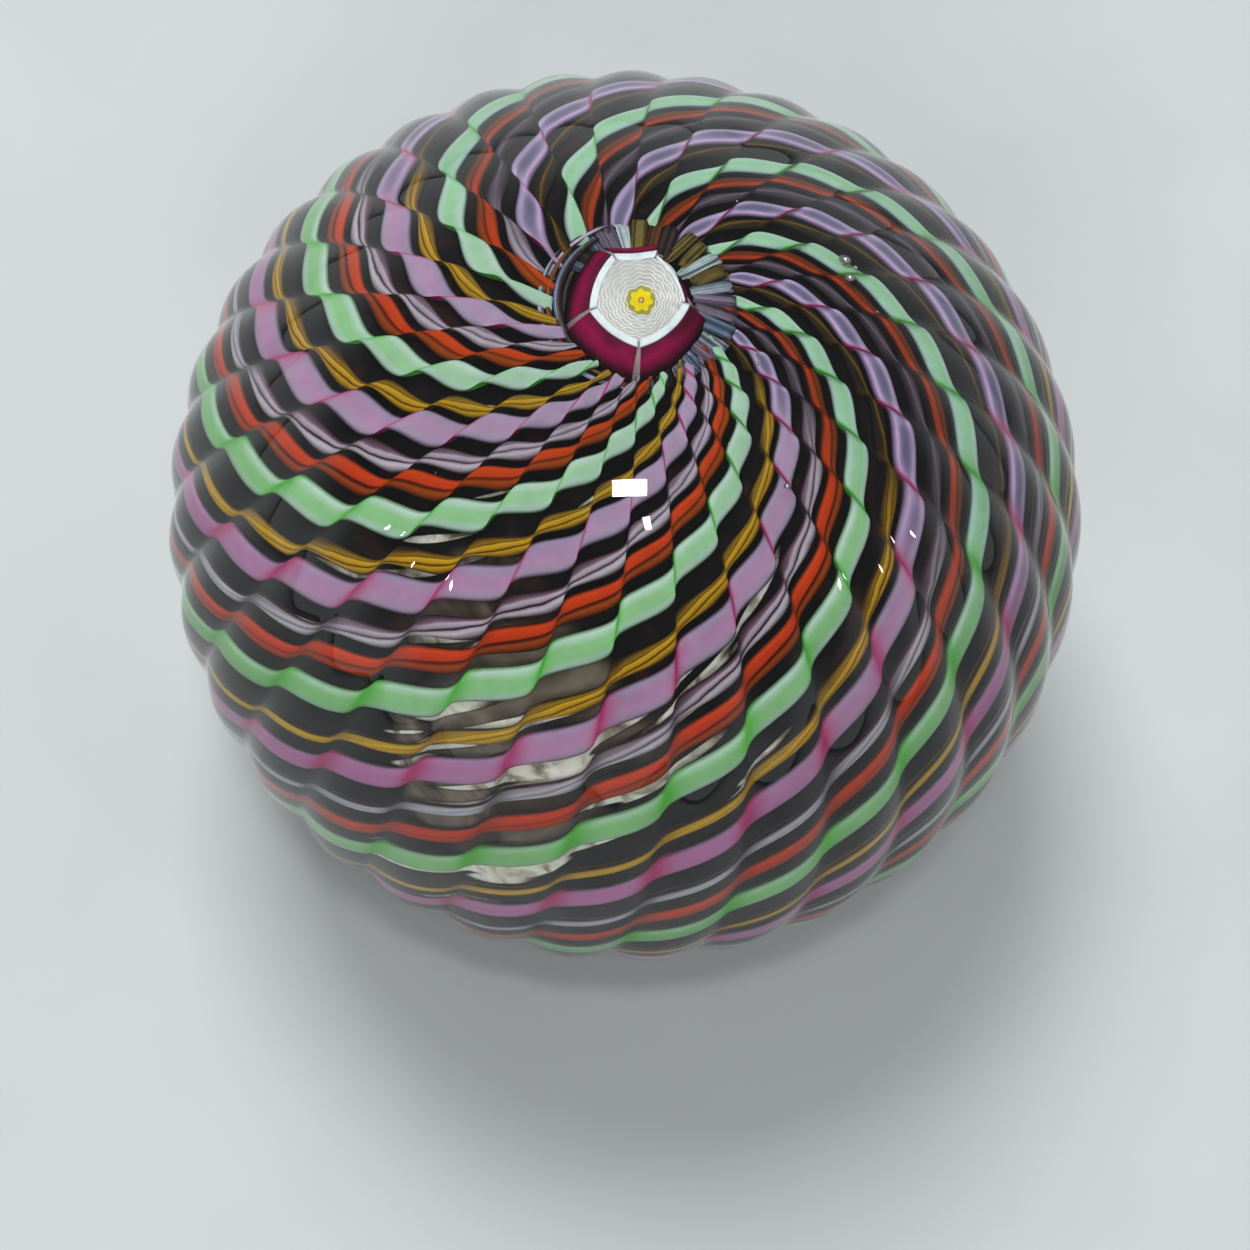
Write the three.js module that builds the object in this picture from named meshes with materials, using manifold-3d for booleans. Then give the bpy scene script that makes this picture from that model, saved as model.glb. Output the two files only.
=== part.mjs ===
// A crown paperweight: forty swirled ribbon canes in eight repeats of five, laid over a
// dark core round a bundled centre cane, and cased in clear glass with moulded ribs.
// Millimetres, +Z up. The origin is the centre of the flat base, and -Y is the front.

import * as THREE from 'three';
import { mergeVertices } from 'three/addons/utils/BufferGeometryUtils.js';
import Module from 'manifold-3d';

// Outer form: a squat spheroid, ground flat underneath.
const RADIUS = 40; // greatest radius, over the rib crests
const SEMI_HEIGHT = 34.8; // from the widest level up to the crown
const BASE_RADIUS = 22; // the flat that the weight stands on
const CLEARANCE = 0.3; // between neighbouring solids

// Moulded ribs down the outside, with a sharp valley between each two crests.
const RIB_COUNT = 32;
const RIB_DEPTH = 0.8;
const RIB_START = degrees(-85); // turn of one valley at the crown
const RIB_LEAN = 0.144; // radians of turn for each radian down from the crown
const FACETS_PER_RIB = 2;
const FACET_ANGLE = degrees(7.5); // down the outside and the inside of a layer

// Layers, from the outside in. The casing and core stand on the foot at PARTING_HEIGHT.
const CASING_THICKNESS = 1.8;
const CANE_THICKNESS = 2;
const PARTING_HEIGHT = 12.7;

// The swirl of the ribbon canes. Its pole leans off the axis, and a cane turns by
// SWIRL_RATE * angle - SWIRL_EASE * angle^2 on its way down from there.
const SWIRL_LEAN = { x: 0.04, y: 0.06 };
const SWIRL_RATE = 2.32;
const SWIRL_EASE = 0.467;
const SWIRL_START = degrees(-103.3); // turn of the first green cane at the pole
const CANE_TOP = degrees(13.5);
const CANE_END = degrees(112);
const CANE_STEPS = 16;
const REPEATS = 8;

// One repeat of canes, with offsets and widths in degrees of turn.
const CANES = [
  { name: 'green_ribbon', offset: 0, width: 8, colour: 0xa8deb4 },
  { name: 'orange_ribbon', offset: 9.4, width: 5.2, colour: 0xc83c14 },
  { name: 'white_ribbon', offset: 16.6, width: 4.8, colour: 0xb9afb9 },
  { name: 'pink_ribbon', offset: 26.4, width: 8, colour: 0xbea0c3 },
  { name: 'yellow_ribbon', offset: 34.6, width: 4.6, colour: 0xc8a014 },
];

// The centre cane is one bundle: a star, a scalloped tube, five cog arcs and five petals.
// A lobed collar lies round its top, where the ribbon canes begin.
const BUNDLE_CENTRE = { x: 0.8, y: 1.2 };
const BUNDLE_LENGTH = 8;
const STAR = { radius: 2, points: 10, waist: 0.55 };
const TUBE = { inner: 2.3, outer: 3, lobes: 12, depth: 0.12 };
const COG = { inner: 3.4, outer: 4.4 };
const PETAL = { inner: 4.7, outer: 6 };
const COLLAR = { inner: 6.3, outer: 6.9, lobes: 20, depth: 0.15, length: 1.8 };
const SECTORS = 5;
const SECTOR_START = degrees(18);
const SECTOR_GAP = 0.4;

const wasm = await Module();
wasm.setup();

// The spheroid's centre stands above the base by what the ground flat leaves.
const CENTRE_HEIGHT = SEMI_HEIGHT * Math.sqrt(1 - (BASE_RADIUS / RADIUS) ** 2);

// Each layer is the outer spheroid shrunk to a share of its size.
const CASING_INNER = 1 - CASING_THICKNESS / RADIUS;
const CANE_OUTER = CASING_INNER - CLEARANCE / RADIUS;
const CANE_INNER = CANE_OUTER - CANE_THICKNESS / RADIUS;
const CORE_OUTER = CANE_INNER - (2 * CLEARANCE) / RADIUS; // the canes' flat facets dip inwards

const paperweight = new THREE.Group();

function degrees(value) {
  return THREE.MathUtils.degToRad(value);
}

function addPart(name, geometry, colour, roughness = 0.15) {
  const material = new THREE.MeshStandardMaterial({ color: colour, roughness, metalness: 0 });
  const mesh = new THREE.Mesh(geometry, material);
  mesh.name = name;
  paperweight.add(mesh);
}

// Gives every vertex of a geometry the place that a function works out for it.
function reshape(geometry, place) {
  const positions = geometry.getAttribute('position');
  const point = new THREE.Vector3();
  for (let index = 0; index < positions.count; index += 1) {
    place(point.fromBufferAttribute(positions, index));
    positions.setXYZ(index, point.x, point.y, point.z);
  }
  return geometry;
}

// Angle down from the crown at which a layer crosses a height above the base.
function angleAtHeight(share, height) {
  return Math.acos((height - CENTRE_HEIGHT) / (share * SEMI_HEIGHT));
}

// Lathe profile points of a layer, from one angle to another.
function layerProfile(share, start, end) {
  const steps = Math.ceil(Math.abs(end - start) / FACET_ANGLE);
  const profile = [];
  for (let step = 0; step <= steps; step += 1) {
    const angle = start + ((end - start) * step) / steps;
    const radius = share * RADIUS * Math.sin(angle);
    const height = CENTRE_HEIGHT + share * SEMI_HEIGHT * Math.cos(angle);
    profile.push(new THREE.Vector2(Math.max(radius, 0), height));
  }
  return profile;
}

// A solid turned about +Z, from a profile that runs round it from below.
function turned(profile, segments) {
  return new THREE.LatheGeometry(profile, segments).rotateX(Math.PI / 2);
}

// Presses the ribs into the outermost layer, fading out towards the crown.
function pressRibs(point) {
  const radius = Math.hypot(point.x, point.y);
  const angle = Math.atan2(radius / RADIUS, (point.z - CENTRE_HEIGHT) / SEMI_HEIGHT);
  const share = Math.hypot(radius / RADIUS, (point.z - CENTRE_HEIGHT) / SEMI_HEIGHT);
  const turn = Math.atan2(point.y, point.x);
  const valley = 1 - Math.abs(Math.sin((turn * RIB_COUNT) / 2));
  const depth = share > 0.999 ? RIB_DEPTH * valley * Math.min(1, 1.6 * Math.sin(angle) ** 2) : 0;
  const leaning = turn + RIB_START - RIB_LEAN * angle;
  point.x = (radius - depth) * Math.cos(leaning);
  point.y = (radius - depth) * Math.sin(leaning);
}

// Clear shell over everything, open underneath.
function casingGeometry() {
  const outer = layerProfile(1, angleAtHeight(1, PARTING_HEIGHT), 0);
  const inner = layerProfile(CASING_INNER, 0, angleAtHeight(CASING_INNER, PARTING_HEIGHT));
  const profile = [...outer, ...inner, outer[0]];
  return reshape(turned(profile, RIB_COUNT * FACETS_PER_RIB), pressRibs);
}

// Clear foot under the casing and the core, with the flat that the weight stands on.
function footGeometry() {
  const top = PARTING_HEIGHT - CLEARANCE;
  const outer = layerProfile(1, angleAtHeight(1, 0), angleAtHeight(1, top));
  const profile = [new THREE.Vector2(0, 0), ...outer, new THREE.Vector2(0, top)];
  return reshape(turned(profile, RIB_COUNT * FACETS_PER_RIB), pressRibs);
}

// Height of a layer over a point of its plan.
function layerHeight(share, x, y) {
  const reach = (x * x + y * y) / (share * RADIUS) ** 2;
  return CENTRE_HEIGHT + share * SEMI_HEIGHT * Math.sqrt(1 - reach);
}

// A mesh that manifold-3d can cut, from a geometry with shared corners merged.
function solidOf(geometry) {
  const bare = geometry.clone();
  bare.deleteAttribute('normal');
  bare.deleteAttribute('uv');
  const merged = mergeVertices(bare, 1e-4);
  return new wasm.Manifold(new wasm.Mesh({
    numProp: 3,
    vertProperties: Float32Array.from(merged.getAttribute('position').array),
    triVerts: Uint32Array.from(merged.index.array),
  }));
}

function geometryOf(solid) {
  const mesh = solid.getMesh();
  const geometry = new THREE.BufferGeometry();
  geometry.setAttribute('position', new THREE.BufferAttribute(mesh.vertProperties, 3));
  geometry.setIndex(new THREE.BufferAttribute(mesh.triVerts, 1));
  return geometry;
}

// Dark dome that the canes lie on, with a socket for the centre cane.
function coreGeometry() {
  const outer = layerProfile(CORE_OUTER, angleAtHeight(CORE_OUTER, PARTING_HEIGHT), 0);
  const dome = turned([new THREE.Vector2(0, PARTING_HEIGHT), ...outer], RIB_COUNT);
  const crown = layerHeight(CANE_OUTER, 0, 0);
  const depth = BUNDLE_LENGTH + 4 * CLEARANCE;
  const socket = new THREE.CylinderGeometry(
    PETAL.outer + CLEARANCE, PETAL.outer + CLEARANCE, 2 * depth, 40,
  );
  socket.rotateX(Math.PI / 2).translate(BUNDLE_CENTRE.x, BUNDLE_CENTRE.y, crown);
  return geometryOf(solidOf(dome).subtract(solidOf(socket)));
}

// Place on a layer of the point that is a turn round the swirl and an angle down it.
function swirlPoint(turn, angle, share, point) {
  const heading = SWIRL_START - turn - (SWIRL_RATE * angle - SWIRL_EASE * angle ** 2);
  point.set(
    Math.sin(angle) * Math.cos(heading) + SWIRL_LEAN.x * Math.cos(angle),
    Math.sin(angle) * Math.sin(heading) + SWIRL_LEAN.y * Math.cos(angle),
    Math.cos(angle),
  ).normalize();
  point.set(
    share * RADIUS * point.x,
    share * RADIUS * point.y,
    CENTRE_HEIGHT + share * SEMI_HEIGHT * point.z,
  );
}

// A ribbon cane: a box of thickness by turn by length, laid along the swirl.
function caneGeometry(turn, width) {
  const length = CANE_END - CANE_TOP;
  const box = new THREE.BoxGeometry(CANE_OUTER - CANE_INNER, width, length, 1, 1, CANE_STEPS);
  box.translate((CANE_OUTER + CANE_INNER) / 2, turn, (CANE_TOP + CANE_END) / 2);
  return reshape(box, (point) => swirlPoint(point.y, point.z, point.x, point));
}

function addCanes() {
  for (const { name, offset, width, colour } of CANES) {
    for (let repeat = 0; repeat < REPEATS; repeat += 1) {
      const turn = degrees(offset) + (repeat * 2 * Math.PI) / REPEATS;
      addPart(`${name}_${repeat + 1}`, caneGeometry(turn, degrees(width)), colour);
    }
  }
}

// Outline points of a ring whose radius swells and sinks by a number of lobes.
function lobedOutline(radius, lobes, depth) {
  const count = lobes * 4;
  return Array.from({ length: count }, (_, index) => {
    const turn = (index * 2 * Math.PI) / count;
    const reach = radius + depth * Math.cos(turn * lobes);
    return new THREE.Vector2(reach * Math.cos(turn), reach * Math.sin(turn));
  });
}

function starShape({ radius, points, waist }) {
  const outline = Array.from({ length: points * 2 }, (_, index) => {
    const turn = (index * Math.PI) / points;
    const reach = index % 2 === 0 ? radius : radius * waist;
    return new THREE.Vector2(reach * Math.cos(turn), reach * Math.sin(turn));
  });
  return new THREE.Shape(outline);
}

function ringShape({ inner, outer, lobes, depth }) {
  const shape = new THREE.Shape(lobedOutline(outer - depth, lobes, depth));
  shape.holes.push(new THREE.Path(lobedOutline(inner + depth, lobes, depth)));
  return shape;
}

// One of the sectors between two rings, with straight gaps between neighbours.
function sectorShape({ inner, outer }, index) {
  const middle = SECTOR_START + (index * 2 * Math.PI) / SECTORS;
  const reach = Math.PI / SECTORS;
  const outerReach = reach - SECTOR_GAP / 2 / outer;
  const innerReach = reach - SECTOR_GAP / 2 / inner;
  const shape = new THREE.Shape();
  shape.absarc(0, 0, outer, middle - outerReach, middle + outerReach, false);
  shape.absarc(0, 0, inner, middle + innerReach, middle - innerReach, true);
  shape.closePath();
  return shape;
}

// Pulls a shape down from the crown of the cane layer, its top following the dome.
function bundled(shape, length) {
  const geometry = new THREE.ExtrudeGeometry(shape, {
    depth: length,
    bevelEnabled: false,
    curveSegments: 10,
  });
  return reshape(geometry, (point) => {
    point.x += BUNDLE_CENTRE.x;
    point.y += BUNDLE_CENTRE.y;
    point.z += layerHeight(CANE_OUTER, point.x, point.y) - length;
  });
}

function addCentreCane() {
  addPart('centre_star', bundled(starShape(STAR), BUNDLE_LENGTH), 0xd8b428);
  addPart('centre_tube', bundled(ringShape(TUBE), BUNDLE_LENGTH), 0xd0d0d6);
  for (let index = 0; index < SECTORS; index += 1) {
    addPart(`cog_arc_${index + 1}`, bundled(sectorShape(COG, index), BUNDLE_LENGTH), 0xe4e4e8);
    addPart(`ruby_petal_${index + 1}`, bundled(sectorShape(PETAL, index), BUNDLE_LENGTH), 0x7a1230);
  }
  addPart('collar', bundled(ringShape(COLLAR), COLLAR.length), 0x8a94a4);
}

addPart('clear_casing', casingGeometry(), 0xeef4f4, 0.05);
addPart('dark_core', coreGeometry(), 0x14121a, 0.2);
addPart('clear_foot', footGeometry(), 0xe6ecec, 0.05);
addCanes();
addCentreCane();

export default paperweight;
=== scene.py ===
"""A ribbed crown paperweight of forty swirled ribbon canes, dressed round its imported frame.

The weight is one lump of clear glass with moulded ribs. Under its surface lie eight repeats
of five ribbon canes over a dark core, and a bundled centre cane stands at the crown. Each
class below is one sub-assembly, one finish, or a tool that builds them. Sizes are in metres
and angles in radians, unless a class says otherwise.
"""

import logging
import math
from dataclasses import dataclass, field
from enum import Enum
from typing import Iterable, Sequence

import bpy
from mathutils import Matrix, Vector


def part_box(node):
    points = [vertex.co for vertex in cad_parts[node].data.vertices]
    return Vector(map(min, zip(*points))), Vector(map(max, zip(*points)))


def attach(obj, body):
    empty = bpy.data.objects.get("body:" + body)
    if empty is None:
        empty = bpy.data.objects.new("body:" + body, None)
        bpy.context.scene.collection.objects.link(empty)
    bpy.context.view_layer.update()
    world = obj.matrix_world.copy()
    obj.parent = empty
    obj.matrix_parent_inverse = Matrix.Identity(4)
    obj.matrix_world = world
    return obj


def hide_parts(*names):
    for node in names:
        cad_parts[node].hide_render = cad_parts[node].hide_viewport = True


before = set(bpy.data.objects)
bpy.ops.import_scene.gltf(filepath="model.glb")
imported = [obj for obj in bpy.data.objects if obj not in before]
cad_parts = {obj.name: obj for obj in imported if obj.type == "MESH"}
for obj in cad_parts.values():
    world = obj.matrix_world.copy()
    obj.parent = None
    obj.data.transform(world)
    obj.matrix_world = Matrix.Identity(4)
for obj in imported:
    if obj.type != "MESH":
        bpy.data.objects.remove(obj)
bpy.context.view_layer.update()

logging.basicConfig(level=logging.INFO, format="%(message)s")
log = logging.getLogger("paperweight")

Colour = tuple[float, float, float, float]
TURN = 2 * math.pi
MILLIMETRE = 0.001


def srgb(red: int, green: int, blue: int) -> Colour:
    """Turns a display colour into the linear colour that shaders read.

    Args:
        red: Red, from 0 to 255.
        green: Green, from 0 to 255.
        blue: Blue, from 0 to 255.

    Returns:
        The linear colour with full alpha.
    """

    def linear(channel: int) -> float:
        """Removes the display curve from one channel."""
        share = channel / 255
        return share / 12.92 if share <= 0.04045 else ((share + 0.055) / 1.055) ** 2.4

    return (linear(red), linear(green), linear(blue), 1.0)


# ---------------------------------------------------------------------------------------
# Node trees written as arithmetic
# ---------------------------------------------------------------------------------------


class Term:
    """One number in a node tree, with arithmetic that adds Math nodes to the tree."""

    def __init__(self, tree: bpy.types.NodeTree, socket: bpy.types.NodeSocket) -> None:
        """Wraps an output socket.

        Args:
            tree: The tree that the socket belongs to.
            socket: The socket that carries the number.
        """
        self.tree = tree
        self.socket = socket

    def math(self, operation: str, *others: "Term | float") -> "Term":
        """Adds one Math node.

        Args:
            operation: The node's operation.
            others: Further operands after this number.

        Returns:
            The node's result.
        """
        node = self.tree.nodes.new("ShaderNodeMath")
        node.operation = operation
        for index, operand in enumerate((self, *others)):
            plug(self.tree, operand, node.inputs[index])
        return Term(self.tree, node.outputs[0])

    def __add__(self, other: "Term | float") -> "Term":
        """Sum."""
        return self.math("ADD", other)

    __radd__ = __add__

    def __mul__(self, other: "Term | float") -> "Term":
        """Product."""
        return self.math("MULTIPLY", other)

    __rmul__ = __mul__

    def __sub__(self, other: "Term | float") -> "Term":
        """Difference."""
        return self.math("SUBTRACT", other)

    def __rsub__(self, other: float) -> "Term":
        """A number less this one."""
        return self * -1.0 + other

    def __truediv__(self, other: "Term | float") -> "Term":
        """Quotient."""
        return self.math("DIVIDE", other)

    def sin(self) -> "Term":
        """Sine."""
        return self.math("SINE")

    def cos(self) -> "Term":
        """Cosine."""
        return self.math("COSINE")

    def power(self, exponent: float) -> "Term":
        """This number to a power."""
        return self.math("POWER", exponent)

    def at_least(self, limit: "Term | float") -> "Term":
        """The larger of this number and a limit."""
        return self.math("MAXIMUM", limit)

    def at_most(self, limit: "Term | float") -> "Term":
        """The smaller of this number and a limit."""
        return self.math("MINIMUM", limit)

    def ramp(self, low: float, high: float, start: float = 0.0, end: float = 1.0) -> "Term":
        """Eases from start to end as this number goes from low to high.

        Args:
            low: Where the ease begins.
            high: Where the ease ends.
            start: Result at and below low.
            end: Result at and above high.

        Returns:
            The eased number.
        """
        node = self.tree.nodes.new("ShaderNodeMapRange")
        node.interpolation_type = "SMOOTHSTEP"
        for name, value in (("Value", self), ("From Min", low), ("From Max", high),
                            ("To Min", start), ("To Max", end)):
            plug(self.tree, value, node.inputs[name])
        return Term(self.tree, node.outputs["Result"])


def plug(tree: bpy.types.NodeTree, value: object, socket: bpy.types.NodeSocket) -> None:
    """Feeds a socket with a number or a socket of the tree, or sets it to a plain value.

    Args:
        tree: The tree to link in.
        value: What to feed the socket with.
        socket: The socket to feed.
    """
    if isinstance(value, Term):
        tree.links.new(value.socket, socket)
    elif isinstance(value, bpy.types.NodeSocket):
        tree.links.new(value, socket)
    else:
        socket.default_value = value


def add_node(tree: bpy.types.NodeTree, kind: str, **inputs: object) -> bpy.types.Node:
    """Adds a node and feeds its inputs.

    Args:
        tree: The tree to add to.
        kind: The node's type.
        inputs: Values or sockets by input name, with _ for a space.

    Returns:
        The new node.
    """
    node = tree.nodes.new(kind)
    for name, value in inputs.items():
        plug(tree, value, node.inputs[name.replace("_", " ")])
    return node


# ---------------------------------------------------------------------------------------
# The form that every layer of the weight follows
# ---------------------------------------------------------------------------------------


@dataclass(frozen=True)
class Dome:
    """The squat spheroid of the weight, its moulded ribs and the swirl of its canes.

    The swirl winds down from its own pole, which leans a little from the crown by lean_x
    and lean_y.
    """

    radius: float
    semi_height: float
    centre_height: float
    base_angle: float
    rib_count: int = 32
    rib_depth: float = 0.8 * MILLIMETRE
    rib_start: float = math.radians(-85)
    rib_lean: float = 0.144
    lean_x: float = 0.0412
    lean_y: float = 0.0588
    swirl_start: float = math.radians(-103.6)
    swirl_rate: float = 2.317
    swirl_ease: float = 0.5665
    swirl_run: float = 0.1198

    @classmethod
    def from_frame(cls, squash: float = 0.87) -> "Dome":
        """Reads the form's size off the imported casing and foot.

        Args:
            squash: Half the spheroid's height, as a share of its radius.

        Returns:
            The form.
        """
        low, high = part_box("clear_casing")
        foot_low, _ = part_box("clear_foot")
        radius = (high.x - low.x) / 2
        height = high.z - foot_low.z
        semi_height = squash * radius
        centre_height = height - semi_height
        base_angle = math.acos(-centre_height / semi_height)
        return cls(radius, semi_height, centre_height, base_angle)

    def winding(self, angle: Term) -> Term:
        """Turn that the swirl has made by an angle down from its pole."""
        return angle * (self.swirl_rate - angle * (self.swirl_ease - angle * self.swirl_run))


class DomeTerms:
    """The dome's own arithmetic, for a geometry node tree."""

    def __init__(self, tree: bpy.types.NodeTree, dome: Dome) -> None:
        """Keeps the tree and the form.

        Args:
            tree: The tree that the terms belong to.
            dome: The form to follow.
        """
        self.tree = tree
        self.dome = dome

    def swirl(self, turn: Term, angle: Term) -> tuple[Term, Term]:
        """Follows the swirl down from the pole.

        Args:
            turn: Turn round the pole, from the first green cane.
            angle: Angle down from the pole.

        Returns:
            The azimuth and the angle down from the crown.
        """
        dome = self.dome
        wound = dome.winding(angle)
        heading = dome.swirl_start - turn - wound
        x = angle.sin() * heading.cos() + angle.cos() * dome.lean_x
        y = angle.sin() * heading.sin() + angle.cos() * dome.lean_y
        length = (x * x + y * y + angle.cos() * angle.cos()).math("SQRT")
        return y.math("ARCTAN2", x), (angle.cos() / length).math("ARCCOSINE")

    def rib_phase(self, azimuth: Term, angle: Term) -> Term:
        """Phase across a rib, a whole turn from one valley to the next."""
        dome = self.dome
        return (azimuth - dome.rib_start + angle * dome.rib_lean) * float(dome.rib_count)

    def place(self, share: "Term | float", azimuth: Term, angle: Term) -> bpy.types.NodeSocket:
        """Point of a layer.

        Args:
            share: The layer's share of the outer size.
            azimuth: Turn round the axis.
            angle: Angle down from the crown.

        Returns:
            The point as a vector socket.
        """
        dome = self.dome
        reach = angle.sin() * dome.radius * share
        height = angle.cos() * dome.semi_height * share + dome.centre_height
        node = add_node(self.tree, "ShaderNodeCombineXYZ", X=reach * azimuth.cos(),
                        Y=reach * azimuth.sin(), Z=height)
        return node.outputs[0]


class ShapeTree:
    """A geometry node tree with named inputs, and the objects that it makes."""

    def __init__(self, name: str) -> None:
        """Starts an empty tree.

        Args:
            name: The tree's name.
        """
        self.tree = bpy.data.node_groups.new(name, "GeometryNodeTree")
        self.tree.interface.new_socket("Geometry", in_out="OUTPUT",
                                       socket_type="NodeSocketGeometry")
        self.entry = self.tree.nodes.new("NodeGroupInput")
        self.exit = self.tree.nodes.new("NodeGroupOutput")

    def input(self, name: str, kind: str = "Float") -> Term:
        """Adds a named input.

        Args:
            name: The input's name.
            kind: Float, Int or Material.

        Returns:
            The input's value.
        """
        self.tree.interface.new_socket(name, in_out="INPUT", socket_type=f"NodeSocket{kind}")
        return Term(self.tree, self.entry.outputs[name])

    def node(self, kind: str, **inputs: object) -> bpy.types.Node:
        """Adds a geometry node and feeds its inputs."""
        return add_node(self.tree, f"GeometryNode{kind}", **inputs)

    def position(self) -> tuple[Term, Term, Term]:
        """Reads the position of each vertex.

        Returns:
            Its x, y and z.
        """
        place = self.tree.nodes.new("GeometryNodeInputPosition")
        parts = add_node(self.tree, "ShaderNodeSeparateXYZ", Vector=place.outputs[0])
        return tuple(Term(self.tree, socket) for socket in parts.outputs)

    def keep(self, geometry: bpy.types.NodeSocket, name: str, value: Term) -> bpy.types.NodeSocket:
        """Stores a number on every vertex, for a material to read.

        Args:
            geometry: The geometry to store it on.
            name: The attribute's name.
            value: The number.

        Returns:
            The geometry with the attribute.
        """
        node = self.node("StoreNamedAttribute", Geometry=geometry, Name=name, Value=value)
        return node.outputs[0]

    def finish(self, geometry: bpy.types.NodeSocket, smooth: bool = True) -> None:
        """Ends the tree in plain, dressed geometry.

        Args:
            geometry: The last geometry.
            smooth: True for smooth shading.
        """
        shaded = self.node("SetShadeSmooth", Geometry=geometry, Shade_Smooth=smooth)
        whole = self.node("RealizeInstances", Geometry=shaded.outputs[0])
        dressed = self.node("SetMaterial", Geometry=whole.outputs[0],
                            Material=self.input("Material", "Material"))
        self.tree.links.new(dressed.outputs[0], self.exit.inputs[0])

    def make(self, name: str, inputs: dict[str, object]) -> bpy.types.Object:
        """Makes a plain mesh object from the tree.

        Args:
            name: The piece's name.
            inputs: Values by input name.

        Returns:
            The piece, with its place in its mesh.
        """
        piece = bpy.data.objects.new(name, bpy.data.meshes.new(name))
        bpy.context.scene.collection.objects.link(piece)
        modifier = piece.modifiers.new(self.tree.name, "NODES")
        modifier.node_group = self.tree
        for socket in self.tree.interface.items_tree:
            if socket.in_out == "INPUT":
                modifier[socket.identifier] = inputs[socket.name]
        graph = bpy.context.evaluated_depsgraph_get()
        mesh = bpy.data.meshes.new_from_object(piece.evaluated_get(graph))
        piece.modifiers.clear()
        empty, piece.data = piece.data, mesh
        bpy.data.meshes.remove(empty)
        mesh.name = name
        return piece


def hand_over(piece: bpy.types.Object, nodes: Iterable[str] = ()) -> None:
    """Rides a finished piece on the weight, hides the CAD nodes that it replaces and logs it.

    Args:
        piece: The finished piece.
        nodes: CAD nodes that the piece replaces.
    """
    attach(piece, "root")
    if nodes:
        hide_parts(*nodes)
    log.info("%s: %d faces", piece.name, len(piece.data.polygons))


# ---------------------------------------------------------------------------------------
# Finishes
# ---------------------------------------------------------------------------------------


class EffectGroup:
    """A shader node group with named inputs and outputs, shared by several materials."""

    def __init__(self, name: str, inputs: Sequence[tuple[str, str]],
                 outputs: Sequence[str]) -> None:
        """Starts the group.

        Args:
            name: The group's name.
            inputs: Names and kinds of the inputs, such as Float or Vector.
            outputs: Names of the numbers that it puts out.
        """
        self.tree = bpy.data.node_groups.new(name, "ShaderNodeTree")
        for label, kind in inputs:
            self.tree.interface.new_socket(label, in_out="INPUT", socket_type=f"NodeSocket{kind}")
        for label in outputs:
            self.tree.interface.new_socket(label, in_out="OUTPUT", socket_type="NodeSocketFloat")
        self.entry = self.tree.nodes.new("NodeGroupInput")
        self.exit = self.tree.nodes.new("NodeGroupOutput")

    def number(self, name: str) -> Term:
        """A named input."""
        return Term(self.tree, self.entry.outputs[name])

    def noise(self, scale: Term, detail: float) -> Term:
        """Noise at the group's place input, about 0.5."""
        node = add_node(self.tree, "ShaderNodeTexNoise", Vector=self.entry.outputs["Place"],
                        Scale=scale, Detail=detail)
        return Term(self.tree, node.outputs["Fac"])

    def give(self, name: str, value: Term) -> None:
        """Puts a number out."""
        self.tree.links.new(value.socket, self.exit.inputs[name])


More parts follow.
